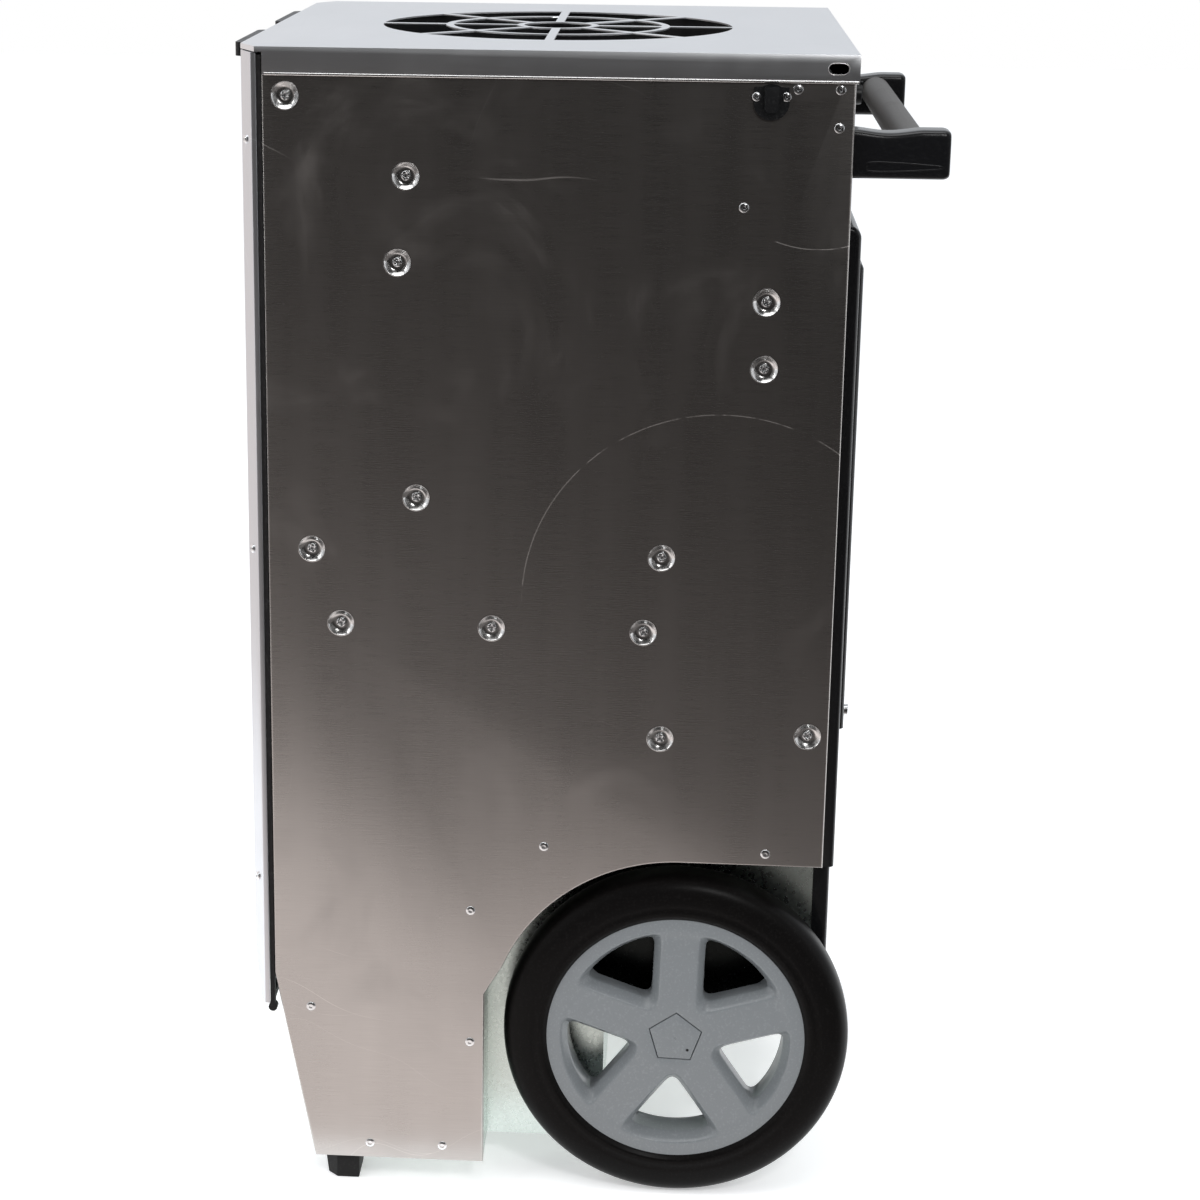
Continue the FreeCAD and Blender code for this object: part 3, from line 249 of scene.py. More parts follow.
# %% Grid helper
def grid_faces(rows, columns, close_rows=False, close_columns=False, start=0):
    """Quads of a rows by columns grid: each face joins point (i, j) with its neighbours in both directions."""
    i = np.arange(rows if close_rows else rows - 1)
    j = np.arange(columns if close_columns else columns - 1)
    a = i[:, None] * columns + j[None, :]
    b = i[:, None] * columns + (j[None, :] + 1) % columns
    c = ((i[:, None] + 1) % rows) * columns + (j[None, :] + 1) % columns
    d = ((i[:, None] + 1) % rows) * columns + j[None, :]
    return np.stack([a, b, c, d], -1).reshape(-1, 4) + start


class Shape:
    """Gathers grids and fills into one mesh, then hands over one finished object at the origin."""

    def __init__(self):
        self.points = []
        self.faces = []
        self.count = 0

    def grid(self, points, close_rows=False, close_columns=False):
        """Adds a (rows, columns, 3) array of points as quads."""
        rows, columns = points.shape[:2]
        self.faces += grid_faces(rows, columns, close_rows, close_columns, self.count).tolist()
        self.points.append(points.reshape(-1, 3))
        self.count += rows * columns
        return self

    def fan(self, ring):
        """Fills a ring of points with triangles to their mean point."""
        n = len(ring)
        hub = self.count + n
        k = np.arange(n)
        tris = np.stack([k + self.count, (k + 1) % n + self.count, np.full(n, hub)], -1)
        self.faces += tris.tolist()
        self.points.append(np.vstack([ring, ring.mean(0, keepdims=True)]))
        self.count += n + 1
        return self

    def fill(self, loops):
        """Fills a flat outline that has holes: the first loop is the outline and the others are the holes."""
        tris = tessellate_polygon([[Vector(p) for p in loop] for loop in loops])
        self.faces += (np.array(tris) + self.count).tolist()
        self.points.append(np.vstack(loops))
        self.count += sum(len(loop) for loop in loops)
        return self

    def make(self, name, like, material, replaced=(), smooth=40.0, facing=None, thickness=0.0):
        """Builds the object: welded, faces outwards, gentle edges smooth, riding with the CAD node it is like."""
        mesh = bpy.data.meshes.new(name)
        mesh.from_pydata(np.vstack(self.points).tolist(), [], self.faces)
        tidy_mesh(mesh, smooth, facing)
        return placed(name, mesh, like, material, replaced, thickness)


def placed(name, mesh, like, material, replaced=(), thickness=0.0):
    """Puts a finished mesh in the scene with the given material, on the body of the CAD node that it is like."""
    piece = bpy.data.objects.new(name, mesh)
    bpy.context.scene.collection.objects.link(piece)
    mesh.materials.append(material)
    if thickness:
        wall = piece.modifiers.new("sheet", "SOLIDIFY")
        wall.thickness = thickness
        wall.offset = -1.0
    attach(piece, body_of[like])
    if replaced:
        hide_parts(*replaced)
    print(name, len(mesh.vertices), "points,", len(mesh.polygons), "faces")
    return piece


def shade(work, smooth):
    """Smooth faces, with a sharp edge wherever two faces meet at more than the angle."""
    limit = math.radians(smooth)
    for edge in work.edges:
        edge.smooth = len(edge.link_faces) == 2 and edge.calc_face_angle(0.0) < limit
    for face in work.faces:
        face.smooth = True


def tidy_mesh(mesh, smooth, facing=None, weld=1e-5):
    """Welds points, points the faces outwards (or towards a direction, on an open sheet) and sets sharp edges."""
    work = bmesh.new()
    work.from_mesh(mesh)
    bmesh.ops.remove_doubles(work, verts=work.verts, dist=weld)
    bmesh.ops.dissolve_degenerate(work, edges=work.edges, dist=weld / 2)
    bmesh.ops.recalc_face_normals(work, faces=work.faces)
    if facing is not None:
        lean = sum((face.normal * face.calc_area() for face in work.faces), Vector()).dot(Vector(facing))
        if lean < 0:
            bmesh.ops.reverse_faces(work, faces=work.faces)
    shade(work, smooth)
    work.to_mesh(mesh)
    work.free()


def turned(profile, turns=96):
    """A profile of (radius, height) turned about +Z: x = r cos a, y = r sin a, z = h, for all angles at once."""
    profile = np.asarray(profile, float)
    a = np.linspace(0, 2 * np.pi, turns, endpoint=False)
    r, h = profile[:, 0, None], profile[:, 1, None]
    return np.stack([r * np.cos(a), r * np.sin(a), np.broadcast_to(h, (len(profile), turns))], -1)


def powered(value, power):
    """The value's size raised to a power, with its sign kept: it makes rounded boxes out of cosines."""
    return np.sign(value) * abs(value) ** power


def arc(centre, radius, start, end, steps):
    """Points of a circular arc from start to end degrees."""
    a = np.radians(np.linspace(start, end, steps))
    return np.stack([centre[0] + radius * np.cos(a), centre[1] + radius * np.sin(a)], -1)


def facing(points, side):
    """Turns points made about +Z so that +Z becomes +X (side 1) or -X (side -1)."""
    x, y, z = points[..., 0], points[..., 1], points[..., 2]
    return np.stack([z * side, y, -x], -1)


# %% [markdown]
# ## Finishes that several materials share
# Brushing, scratches, handling marks, moulded grain and zinc spangle are each one node group. A material places
# a group, sets its amounts, and feeds what comes out into colour, roughness or bump.


# %% Node group helpers
def new_group(name, inputs, outputs):
    """An empty group with a Vector input, the named number inputs and the named outputs."""
    tree = bpy.data.node_groups.new(name, "ShaderNodeTree")
    tree.interface.new_socket("Vector", in_out="INPUT", socket_type="NodeSocketVector")
    for label, value in inputs.items():
        tree.interface.new_socket(label, in_out="INPUT", socket_type="NodeSocketFloat").default_value = value
    for label in outputs:
        tree.interface.new_socket(label, in_out="OUTPUT", socket_type="NodeSocketFloat")
    return tree, tree.nodes.new("NodeGroupInput"), tree.nodes.new("NodeGroupOutput")


def feed(tree, source, target):
    """Sets a socket from a number, or links it from another socket."""
    if isinstance(source, (int, float)):
        target.default_value = source
    else:
        tree.links.new(source, target)


def maths(tree, operation, first, second=0.0, clamp=False):
    """One arithmetic step on numbers or sockets."""
    node = tree.nodes.new("ShaderNodeMath")
    node.operation = operation
    node.use_clamp = clamp
    feed(tree, first, node.inputs[0])
    feed(tree, second, node.inputs[1])
    return node.outputs[0]


def noise(tree, vector, scale, detail=2.0, roughness=0.5, distortion=0.0):
    """Cloudy noise from 0 to 1; a larger scale makes it finer."""
    node = tree.nodes.new("ShaderNodeTexNoise")
    tree.links.new(vector, node.inputs["Vector"])
    feed(tree, scale, node.inputs["Scale"])
    node.inputs["Detail"].default_value = detail
    node.inputs["Roughness"].default_value = roughness
    node.inputs["Distortion"].default_value = distortion
    return node.outputs["Fac"]


def stretched(tree, vector, scale):
    """Multiplies each axis of a position, so that noise reads drawn out along the small ones."""
    node = tree.nodes.new("ShaderNodeMapping")
    node.inputs["Scale"].default_value = scale
    tree.links.new(vector, node.inputs["Vector"])
    return node.outputs[0]


def ranged(tree, value, low, high, out_low=0.0, out_high=1.0):
    """Maps low..high to out_low..out_high along a smooth step."""
    node = tree.nodes.new("ShaderNodeMapRange")
    node.interpolation_type = "SMOOTHSTEP"
    feed(tree, value, node.inputs["Value"])
    for label, number in (("From Min", low), ("From Max", high), ("To Min", out_low), ("To Max", out_high)):
        feed(tree, number, node.inputs[label])
    return node.outputs["Result"]


def reach_from(tree, vector, centre_y, centre_z):
    """Distance from an axis along X, as sqrt(dy^2 + dz^2), with the split position and the z part."""
    axes = tree.nodes.new("ShaderNodeSeparateXYZ")
    tree.links.new(vector, axes.inputs[0])
    off_y = maths(tree, "SUBTRACT", axes.outputs["Y"], centre_y)
    off_z = maths(tree, "SUBTRACT", axes.outputs["Z"], centre_z)
    squares = maths(tree, "ADD", maths(tree, "MULTIPLY", off_y, off_y), maths(tree, "MULTIPLY", off_z, off_z))
    return maths(tree, "SQRT", squares), axes, off_z


# %% Brushing: noise drawn out along one axis
brushing, b_in, b_out = new_group("brushing", {"Strength": 1.0}, ["Shade", "Height"])
long_y = stretched(brushing, b_in.outputs["Vector"], (900.0, 22.0, 1500.0))
fine = noise(brushing, long_y, 1.0, 3.0, 0.6)
long_z = stretched(brushing, b_in.outputs["Vector"], (8.0, 26.0, 3.0))
bands = noise(brushing, long_z, 1.0, 2.0, 0.5)
mixed_grain = maths(brushing, "ADD", maths(brushing, "MULTIPLY", fine, 0.6), maths(brushing, "MULTIPLY", bands, 0.4))
centred = maths(brushing, "SUBTRACT", mixed_grain, 0.5)
feed(brushing, maths(brushing, "ADD", maths(brushing, "MULTIPLY", centred, b_in.outputs["Strength"]), 0.5),
     b_out.inputs["Shade"])
feed(brushing, maths(brushing, "MULTIPLY", fine, b_in.outputs["Strength"]), b_out.inputs["Height"])

# %% Scratches: thin crooked lines where warped cells meet, kept only in patches
scratching, s_in, s_out = new_group("scratching", {"Amount": 1.0, "Scale": 6.0}, ["Mask"])
warp = scratching.nodes.new("ShaderNodeTexNoise")
warp.inputs["Scale"].default_value = 2.2
scratching.links.new(s_in.outputs["Vector"], warp.inputs["Vector"])
bend = scratching.nodes.new("ShaderNodeMix")
bend.data_type = "VECTOR"
bend.inputs["Factor"].default_value = 0.42
scratching.links.new(s_in.outputs["Vector"], bend.inputs[4])
scratching.links.new(warp.outputs["Color"], bend.inputs[5])
cells = scratching.nodes.new("ShaderNodeTexVoronoi")
cells.feature = "DISTANCE_TO_EDGE"
scratching.links.new(bend.outputs[1], cells.inputs["Vector"])
scratching.links.new(s_in.outputs["Scale"], cells.inputs["Scale"])
line = ranged(scratching, cells.outputs["Distance"], 0.0003, 0.0010, 1.0, 0.0)
patch = ranged(scratching, noise(scratching, s_in.outputs["Vector"], 5.0), 0.56, 0.66)
feed(scratching, maths(scratching, "MULTIPLY", maths(scratching, "MULTIPLY", line, patch), s_in.outputs["Amount"]),
     s_out.inputs["Mask"])

# %% Long arcs: a scratch left by something that swung against the sheet
arcing, a_in, a_out = new_group("arc_scratch", {"Centre Y": 0.0, "Centre Z": 0.0, "Radius": 0.3, "Low Z": 0.0,
                                                "High Z": 1.0}, ["Mask"])
reach, a_split, _ = reach_from(arcing, a_in.outputs["Vector"], a_in.outputs["Centre Y"], a_in.outputs["Centre Z"])
stray = maths(arcing, "ABSOLUTE", maths(arcing, "SUBTRACT", reach, a_in.outputs["Radius"]))
thin = ranged(arcing, stray, 0.0002, 0.0007, 1.0, 0.0)
above = maths(arcing, "GREATER_THAN", a_split.outputs["Z"], a_in.outputs["Low Z"])
below = maths(arcing, "LESS_THAN", a_split.outputs["Z"], a_in.outputs["High Z"])
skips = ranged(arcing, noise(arcing, a_in.outputs["Vector"], 60.0, 3.0), 0.38, 0.52)
kept = maths(arcing, "MULTIPLY", maths(arcing, "MULTIPLY", above, below), skips)
feed(arcing, maths(arcing, "MULTIPLY", thin, kept), a_out.inputs["Mask"])

# %% Handling marks: soft cloudy smears
smearing, m_in, m_out = new_group("smearing", {"Scale": 7.0, "Threshold": 0.55}, ["Mask"])
cloud = noise(smearing, m_in.outputs["Vector"], m_in.outputs["Scale"], 5.0, 0.62, 0.8)
feed(smearing, ranged(smearing, cloud, m_in.outputs["Threshold"], 0.85), m_out.inputs["Mask"])

# %% Moulded grain: a fine pebble for bump and small flecks for colour
moulding, g_in, g_out = new_group("moulded_grain", {"Scale": 900.0, "Flecks": 1.0}, ["Height", "Fleck"])
pebble = noise(moulding, g_in.outputs["Vector"], g_in.outputs["Scale"], 2.0, 0.6)
spots = noise(moulding, g_in.outputs["Vector"], 420.0, 1.0, 0.5)
feed(moulding, pebble, g_out.inputs["Height"])
feed(moulding, maths(moulding, "MULTIPLY", ranged(moulding, spots, 0.52, 0.74), g_in.outputs["Flecks"]),
     g_out.inputs["Fleck"])

# %% Zinc spangle: crystals that each have their own shade
spangling, z_in, z_out = new_group("spangle", {"Scale": 160.0}, ["Shade"])
crystals = spangling.nodes.new("ShaderNodeTexVoronoi")
spangling.links.new(z_in.outputs["Vector"], crystals.inputs["Vector"])
spangling.links.new(z_in.outputs["Scale"], crystals.inputs["Scale"])
split = spangling.nodes.new("ShaderNodeSeparateColor")
spangling.links.new(crystals.outputs["Color"], split.inputs[0])
feed(spangling, split.outputs[0], z_out.inputs["Shade"])
print("groups:", ", ".join(group.name for group in bpy.data.node_groups))


# %% [markdown]
# ## Materials
# Each material is a Principled shader with its constants set on its own sockets, and only what changes over the
# surface comes from a group. All of them read Object coordinates, in metres.

# %% Material helpers
def base_material(name, colour, roughness, metallic=0.0, **more):
    """A Principled material with constant sockets, and its Object coordinates."""
    material = bpy.data.materials.new(name)
    material.use_nodes = True
    tree = material.node_tree
    shader = tree.nodes["Principled BSDF"]
    shader.inputs["Base Color"].default_value = (*colour, 1.0)
    shader.inputs["Roughness"].default_value = roughness
    shader.inputs["Metallic"].default_value = metallic
    for label, value in more.items():
        shader.inputs[label.replace("_", " ")].default_value = value
    place = tree.nodes.new("ShaderNodeTexCoord")
    return material, tree, shader, place.outputs["Object"]


def use(tree, group, vector, **amounts):
    """Places a shared group in a material and sets its amounts."""
    node = tree.nodes.new("ShaderNodeGroup")
    node.node_tree = group
    tree.links.new(vector, node.inputs["Vector"])
    for label, value in amounts.items():
        node.inputs[label.replace("_", " ")].default_value = value
    return node


def colour_between(tree, factor, low, high):
    """Mixes two colours, each given as a triple or a socket."""
    node = tree.nodes.new("ShaderNodeMix")
    node.data_type = "RGBA"
    feed(tree, factor, node.inputs["Factor"])
    for index, colour in ((6, low), (7, high)):
        if isinstance(colour, tuple):
            node.inputs[index].default_value = (*colour, 1.0)
        else:
            tree.links.new(colour, node.inputs[index])
    return node.outputs[2]


def bump(tree, shader, height, strength, distance):
    """Turns a height into a shading normal; distance is the relief in metres."""
    node = tree.nodes.new("ShaderNodeBump")
    node.inputs["Strength"].default_value = strength
    node.inputs["Distance"].default_value = distance
    tree.links.new(height, node.inputs["Height"])
    tree.links.new(node.outputs[0], shader.inputs["Normal"])


# %% Brushed stainless steel
def brushed_steel(name, dark, light, roughness, marks=1.0, scratches=1.0, strength=1.0, arcs=()):
    """Brushed sheet with fine grain, hair scratches, dull smears, and arcs (y, z, radius, low z, high z)."""
    material, tree, shader, place = base_material(name, light, roughness, 1.0)
    grain = use(tree, brushing, place, Strength=strength)
    lines = use(tree, scratching, place, Amount=scratches, Scale=2.6)
    hair = use(tree, scratching, place, Amount=scratches * 0.7, Scale=9.0)
    smear = use(tree, smearing, place, Scale=6.0, Threshold=0.52)
    colour = colour_between(tree, grain.outputs["Shade"], dark, light)
    worn = maths(tree, "ADD", lines.outputs["Mask"], hair.outputs["Mask"], clamp=True)
    for y, z, radius, low, high in arcs:
        one = use(tree, arcing, place, Centre_Y=y, Centre_Z=z, Radius=radius, Low_Z=low, High_Z=high)
        worn = maths(tree, "ADD", worn, one.outputs["Mask"], clamp=True)
    pale = tuple(min(1.0, c * 1.25) for c in light)
    tree.links.new(colour_between(tree, worn, colour, pale), shader.inputs["Base Color"])
    dull = maths(tree, "MULTIPLY", smear.outputs["Mask"], 0.16 * marks)
    rough = maths(tree, "ADD", maths(tree, "MULTIPLY", grain.outputs["Shade"], 0.10), roughness - 0.05)
    rough = maths(tree, "ADD", maths(tree, "ADD", rough, dull), maths(tree, "MULTIPLY", worn, 0.15), clamp=True)
    tree.links.new(rough, shader.inputs["Roughness"])
    bump(tree, shader, grain.outputs["Height"], 0.12, 0.0002)
    return material


PANEL_ARCS = [(FRONT + 0.438, 0.640, 0.190, 0.628, 0.832), (FRONT + 0.52, 1.10, 0.11, 0.99, 0.997)]
panel_steel = brushed_steel("panel_steel", (0.42, 0.395, 0.38), (0.60, 0.572, 0.55), 0.28, arcs=PANEL_ARCS)
lid_steel = brushed_steel("lid_steel", (0.70, 0.71, 0.73), (0.82, 0.83, 0.85), 0.34, 0.6, 0.5, 0.7)
cover_steel = brushed_steel("cover_steel", (0.62, 0.635, 0.66), (0.74, 0.75, 0.78), 0.36, 0.6, 0.5, 0.6)


# %% Galvanised sheet
# Inner and outer radius of the painted shade disc behind each wheel
BAY_SHADE_START, BAY_SHADE_END = 0.128, 0.150


def galvanised(name):
    """Spangled zinc. Behind each wheel, above the axle, a painted dark disc stands for the bay's deep shade."""
    material, tree, shader, place = base_material(name, (0.6, 0.68, 0.64), 0.3, 1.0)
    crystals = use(tree, spangling, place, Scale=330.0)
    smear = use(tree, smearing, place, Scale=9.0, Threshold=0.5)
    colour = colour_between(tree, crystals.outputs["Shade"], (0.60, 0.67, 0.63), (0.70, 0.77, 0.73))
    film = colour_between(tree, smear.outputs["Mask"], colour, (0.55, 0.6, 0.57))
    reach, _, off_z = reach_from(tree, place, AXLE_Y, AXLE_Z)
    # Painted shade: a near-black disc behind each wheel, above the axle, stands for the wheel bay's deep shade
    painted_bay_shade = maths(tree, "MULTIPLY", ranged(tree, reach, BAY_SHADE_START, BAY_SHADE_END, 0.97, 0.0),
                 ranged(tree, off_z, -0.012, 0.006))
    tree.links.new(colour_between(tree, painted_bay_shade, film, (0.006, 0.006, 0.006)), shader.inputs["Base Color"])
    tree.links.new(ranged(tree, crystals.outputs["Shade"], 0.0, 1.0, 0.26, 0.34), shader.inputs["Roughness"])
    return material


zinc_sheet = galvanised("galvanised_sheet")


# %% Bright fasteners and bare metals
def bare_metal(name, colour, roughness, variation=0.12):
    """Bare or plated metal whose colour and shine change in small patches."""
    material, tree, shader, place = base_material(name, colour, roughness, 1.0)
    smear = use(tree, smearing, place, Scale=60.0, Threshold=0.4)
    dark = tuple(c * (1 - variation * 2) for c in colour)
    tree.links.new(colour_between(tree, smear.outputs["Mask"], colour, dark), shader.inputs["Base Color"])
    tree.links.new(ranged(tree, smear.outputs["Mask"], 0.0, 1.0, roughness, roughness + 0.18),
                   shader.inputs["Roughness"])
    return material


bright_zinc = bare_metal("bright_zinc", (0.86, 0.87, 0.88), 0.16)
steel_bar = bare_metal("steel_bar", (0.52, 0.52, 0.53), 0.32)
bronze = bare_metal("bronze", (0.62, 0.45, 0.22), 0.34)
copper = bare_metal("copper", (0.80, 0.45, 0.30), 0.26)
fins = bare_metal("fin_aluminium", (0.70, 0.71, 0.73), 0.38)


# %% Plastics, rubber and foam
def moulded(name, colour, fleck, roughness, grain=900.0, depth=0.1, flecks=1.0, coat=0.0, gloss=0.5):
    """Plastic or rubber: pebbled grain as bump, small paler flecks, and handling marks that dull it."""
    material, tree, shader, place = base_material(name, colour, roughness, 0.0, Coat_Weight=coat)
    shader.inputs["Specular IOR Level"].default_value = gloss
    shader.inputs["Coat Roughness"].default_value = 0.12
    texture = use(tree, moulding, place, Scale=grain, Flecks=flecks)
    smear = use(tree, smearing, place, Scale=8.0, Threshold=0.5)
    mixed = colour_between(tree, texture.outputs["Fleck"], colour, fleck)
    tree.links.new(mixed, shader.inputs["Base Color"])
    tree.links.new(ranged(tree, smear.outputs["Mask"], 0.0, 1.0, roughness, roughness + 0.14),
                   shader.inputs["Roughness"])
    bump(tree, shader, texture.outputs["Height"], depth, 0.0003)
    return material


black_gloss = moulded("black_gloss_plastic", (0.004, 0.004, 0.0045), (0.008, 0.008, 0.0085), 0.20, 700.0, 0.04,
                      0.6, gloss=0.42)
black_matt = moulded("black_matt_plastic", (0.005, 0.005, 0.0055), (0.011, 0.011, 0.011), 0.36, 1100.0, 0.10,
                     gloss=0.22)
wheel_grey = moulded("wheel_grey_plastic", (0.140, 0.150, 0.156), (0.172, 0.182, 0.188), 0.30, 1200.0, 0.06,
                     0.8, 0.25)
tyre_black = moulded("tyre_foam_rubber", (0.003, 0.0026, 0.0025), (0.006, 0.0055, 0.0052), 0.34, 1300.0, 0.10,
                     0.8, gloss=0.09)
rubber = moulded("rubber_black", (0.007, 0.0065, 0.0065), (0.014, 0.013, 0.013), 0.55, 800.0, 0.15, gloss=0.2)
grip_sleeve = moulded("grip_sleeve", (0.06, 0.057, 0.054), (0.085, 0.082, 0.078), 0.55, 1500.0, 0.10, 0.6)
enamel = moulded("black_enamel", (0.012, 0.012, 0.014), (0.02, 0.02, 0.022), 0.3, 500.0, 0.05, 0.5, 0.3)
foam = moulded("filter_foam", (0.02, 0.02, 0.02), (0.04, 0.04, 0.04), 0.95, 520.0, 0.9, gloss=0.2)
board = moulded("circuit_board", (0.02, 0.11, 0.04), (0.04, 0.17, 0.06), 0.4)
lens_red = moulded("lamp_lens", (0.5, 0.03, 0.02), (0.6, 0.06, 0.04), 0.15)
meter_window = moulded("meter_window", (0.03, 0.035, 0.04), (0.035, 0.04, 0.045), 0.12)

# %% Give every CAD node its finish by its material slot
finishes = {"panel_steel": panel_steel, "lid_steel": lid_steel, "galvanised": zinc_sheet, "bright_zinc": bright_zinc,
            "black_gloss": black_gloss, "black_matt": black_matt, "wheel_grey": wheel_grey,
            "tyre_black": tyre_black, "rubber_black": rubber, "grip_sleeve": grip_sleeve, "steel_bar": steel_bar,
            "bush_brass": bronze, "copper": copper, "fin_aluminium": fins, "motor_enamel": enamel, "foam": foam,
            "lamp_lens": lens_red, "meter_face": meter_window, "board_green": board}
for part in frame["record"]["subparts"]:
    mesh = frame["nodes"][part["node"]].data
    mesh.materials.clear()
    mesh.materials.append(finishes[part["material_slot"]])
# The duct's parts get the black matt finish in place of their slots' finishes: painted shade, so nothing bright
# shows through the outlet.
for node in ("fan_ring", "fan_bracket", "fan_impeller", "fan_motor"):
    frame["nodes"][node].data.materials[0] = black_matt
print(len(finishes), "finishes by slot")

# %% [markdown]
# ## Softened edges
# Folded sheet and mouldings never have knife edges. A part whose CAD shape is right already only needs its long
# edges rounded, so a merged copy of its mesh gets a small bevel, which catches the light as a real fold does.


# %% Softened copies of CAD parts
def softened(node, width, shortest=0.015, angle=50.0, segments=3, material=None, smooth=40.0):
    """A copy of a CAD node: points merged, flat triangles joined, and every long edge over an angle bevelled."""
    mesh = frame["nodes"][node].data.copy()
    work = bmesh.new()
    work.from_mesh(mesh)
    bmesh.ops.remove_doubles(work, verts=work.verts, dist=2e-6)
    bmesh.ops.dissolve_degenerate(work, edges=work.edges, dist=1e-6)
    bmesh.ops.dissolve_limit(work, angle_limit=math.radians(0.5), verts=work.verts, edges=work.edges)
    sharp = [edge for edge in work.edges if len(edge.link_faces) == 2 and edge.calc_length() > shortest
             and edge.calc_face_angle(0.0) > math.radians(angle)]
    bmesh.ops.bevel(work, geom=sharp, offset=width, offset_type="OFFSET", segments=segments, profile=0.5,
                    affect="EDGES", clamp_overlap=True)
    bmesh.ops.triangulate(work, faces=[face for face in work.faces if len(face.verts) > 4])
    shade(work, smooth)
    work.to_mesh(mesh)
    work.free()
    mesh.materials.clear()
    return placed("finished_" + node, mesh, node, material or finishes[slot_of[node]], [node])


softened("top_lid", 1.3 * MM, shortest=0.05)
softened("front_cover", 1.5 * MM, shortest=0.03, angle=20.0, material=cover_steel)
for node, width in (("filter_bezel", 2.5), ("filter_door", 0.8), ("rear_lower_cover", 1.5), ("control_plate", 0.8),
                    ("switch_frame", 0.4), ("switch_rocker", 0.6), ("front_feet", 1.6),
                    ("rear_panel", 0.5), ("hour_meter", 0.5)):
    softened(node, width * MM, shortest=0.006)
softened("power_inlet", 0.8 * MM, shortest=0.004)
softened("front_grips", 2.0 * MM, shortest=0.012)

# %% [markdown]
# ## The side panels
# Each panel is one sheet: cut to its outline with the wheel arch, folded inwards all round, and pressed into
# thirteen round seats. It is made as the flat face with thirteen holes, and a fold carried round the outline.


# %% Outline and seats of a side panel
DIMPLES = np.array([(22, 1125), (135, 1052), (127, 970), (145, 741), (43, 687), (71, 612), (219, 611),
                    (383, 687), (367, 611), (386, 502), (475, 939), (475, 875), (530, 509)]) * MM
RIVETS = np.array([(451, 1028), (536, 1103), (497, 1138), (536, 1138), (273, 384), (493, 384),
                   (200, 312), (200, 167), (37, 200), (97, 48), (172, 48)]) * MM
SEAT_RADIUS, SEAT_DEPTH = 12.9 * MM, 3.9 * MM
BAY_FRONT, ARCH_TOP = panel_low.y + 0.214, 0.371
ARCH_RADIUS = 0.190
ARCH_CENTRE = (AXLE_Y, ARCH_TOP - ARCH_RADIUS)
FOLD, FOLD_DEPTH, SHEET = 2.2 * MM, 12 * MM, 1.2 * MM
SLOT_Z, SLOT_RADIUS = (LID_BOTTOM + TOP) / 2, 5 * MM
SLOT_FRONT, SLOT_REAR = FRONT + 0.529, FRONT + 0.538


def panel_loop():
    """The outline in (y, z), walked one way round: straight runs, and the arch as an arc from 158 to 90 degrees."""
    bottom, top = panel_low.z, panel_high.z
    arch = arc(ARCH_CENTRE, ARCH_RADIUS, 158.0, 90.0, 30)
    lead = np.array([(BAY_FRONT, arch[0, 1] - 0.032)])
    ends = np.array([(REAR, ARCH_TOP), (REAR, top), (FRONT, top), (FRONT, 0.236), (FRONT + 0.040, bottom),
                     (BAY_FRONT, bottom)])
    return np.vstack([lead, arch, ends])


def inset(loop, distance):
    """Moves a closed outline inwards: each corner goes along the mean of its two runs' normals, mitred."""
    ahead = np.roll(loop, -1, 0) - loop
    ahead /= np.linalg.norm(ahead, axis=1, keepdims=True)
    normal = np.stack([-ahead[:, 1], ahead[:, 0]], -1)
    before = np.roll(normal, 1, 0)
    mitre = (normal + before) / (1 + (normal * before).sum(1, keepdims=True))
    area = (loop[:, 0] * np.roll(loop[:, 1], -1) - np.roll(loop[:, 0], -1) * loop[:, 1]).sum()
    return loop + mitre * distance * np.sign(area)


def side_panel(side, name, node):
    """Face, fold and flange of one panel: the fold is a quarter circle from the face back to the flange."""
    loop = panel_loop()
    bend = np.radians(np.linspace(90, 0, 6))
    rows = [inset(loop, FOLD * (1 - math.cos(a))) for a in bend] + [loop]
    depth = [FOLD * (1 - math.sin(a)) for a in bend] + [FOLD_DEPTH]
    points = np.stack([np.column_stack([np.full(len(loop), side * (HALF - d)), row])
                       for d, row in zip(depth, rows)])
    ring = np.linspace(0, 2 * np.pi, 40, endpoint=False)
    circle = np.stack([np.cos(ring), np.sin(ring)], -1) * SEAT_RADIUS
    holes = [circle[::-1] + (FRONT + u, z) for u, z in DIMPLES]
    straps = np.vstack([arc((SLOT_REAR, SLOT_Z), SLOT_RADIUS, -90, 90, 9),
                        arc((SLOT_FRONT, SLOT_Z), SLOT_RADIUS, 90, 270, 9)])
    flat = [np.column_stack([np.full(len(h), side * HALF), h]) for h in [rows[0], straps[::-1]] + holes]
    return Shape().grid(points, close_columns=True).fill(flat).make(
        name, node, panel_steel, [node], smooth=50.0, facing=(side, 0, 0), thickness=SHEET)


side_panel(1, "folded_side_right", "side_panel_right")
side_panel(-1, "folded_side_left", "side_panel_left")

# %% [markdown]
# ## Pressed seats and their screws
# A punch draws each seat into a bowl and leaves it brighter than the brushed sheet. The screw in it is a plated
# pan head with a cross recess. Bowl and head are height fields over a disc, so one formula makes each of them.


# %% Seats, screws and rivets
def disc_field(radii, height, turns=40):
    """A surface over a disc: for every radius and angle at once, z = height(x, y, r)."""
    a = np.linspace(0, 2 * np.pi, turns, endpoint=False)
    r = np.asarray(radii)[:, None]
    x, y = r * np.cos(a), r * np.sin(a)
    return np.stack([x, y, height(x, y, r + 0 * a)], -1)


def pressed_bowl():
    """A rounded lip that turns over the sheet's edge, then a bowl down to a small flat round the screw."""
    radii = np.concatenate([np.linspace(13.6, 12.4, 5), np.linspace(12.0, 3.0, 16)]) * MM

    def height(x, y, r):
        s = np.clip((SEAT_RADIUS - r) / (6.6 * MM), 0, 1)
        lip = 0.25 * MM * np.exp(-((r - SEAT_RADIUS) / (0.45 * MM)) ** 2)
        return lip - SEAT_DEPTH * np.sin(s * np.pi / 2) ** 1.15
    return disc_field(radii, height)


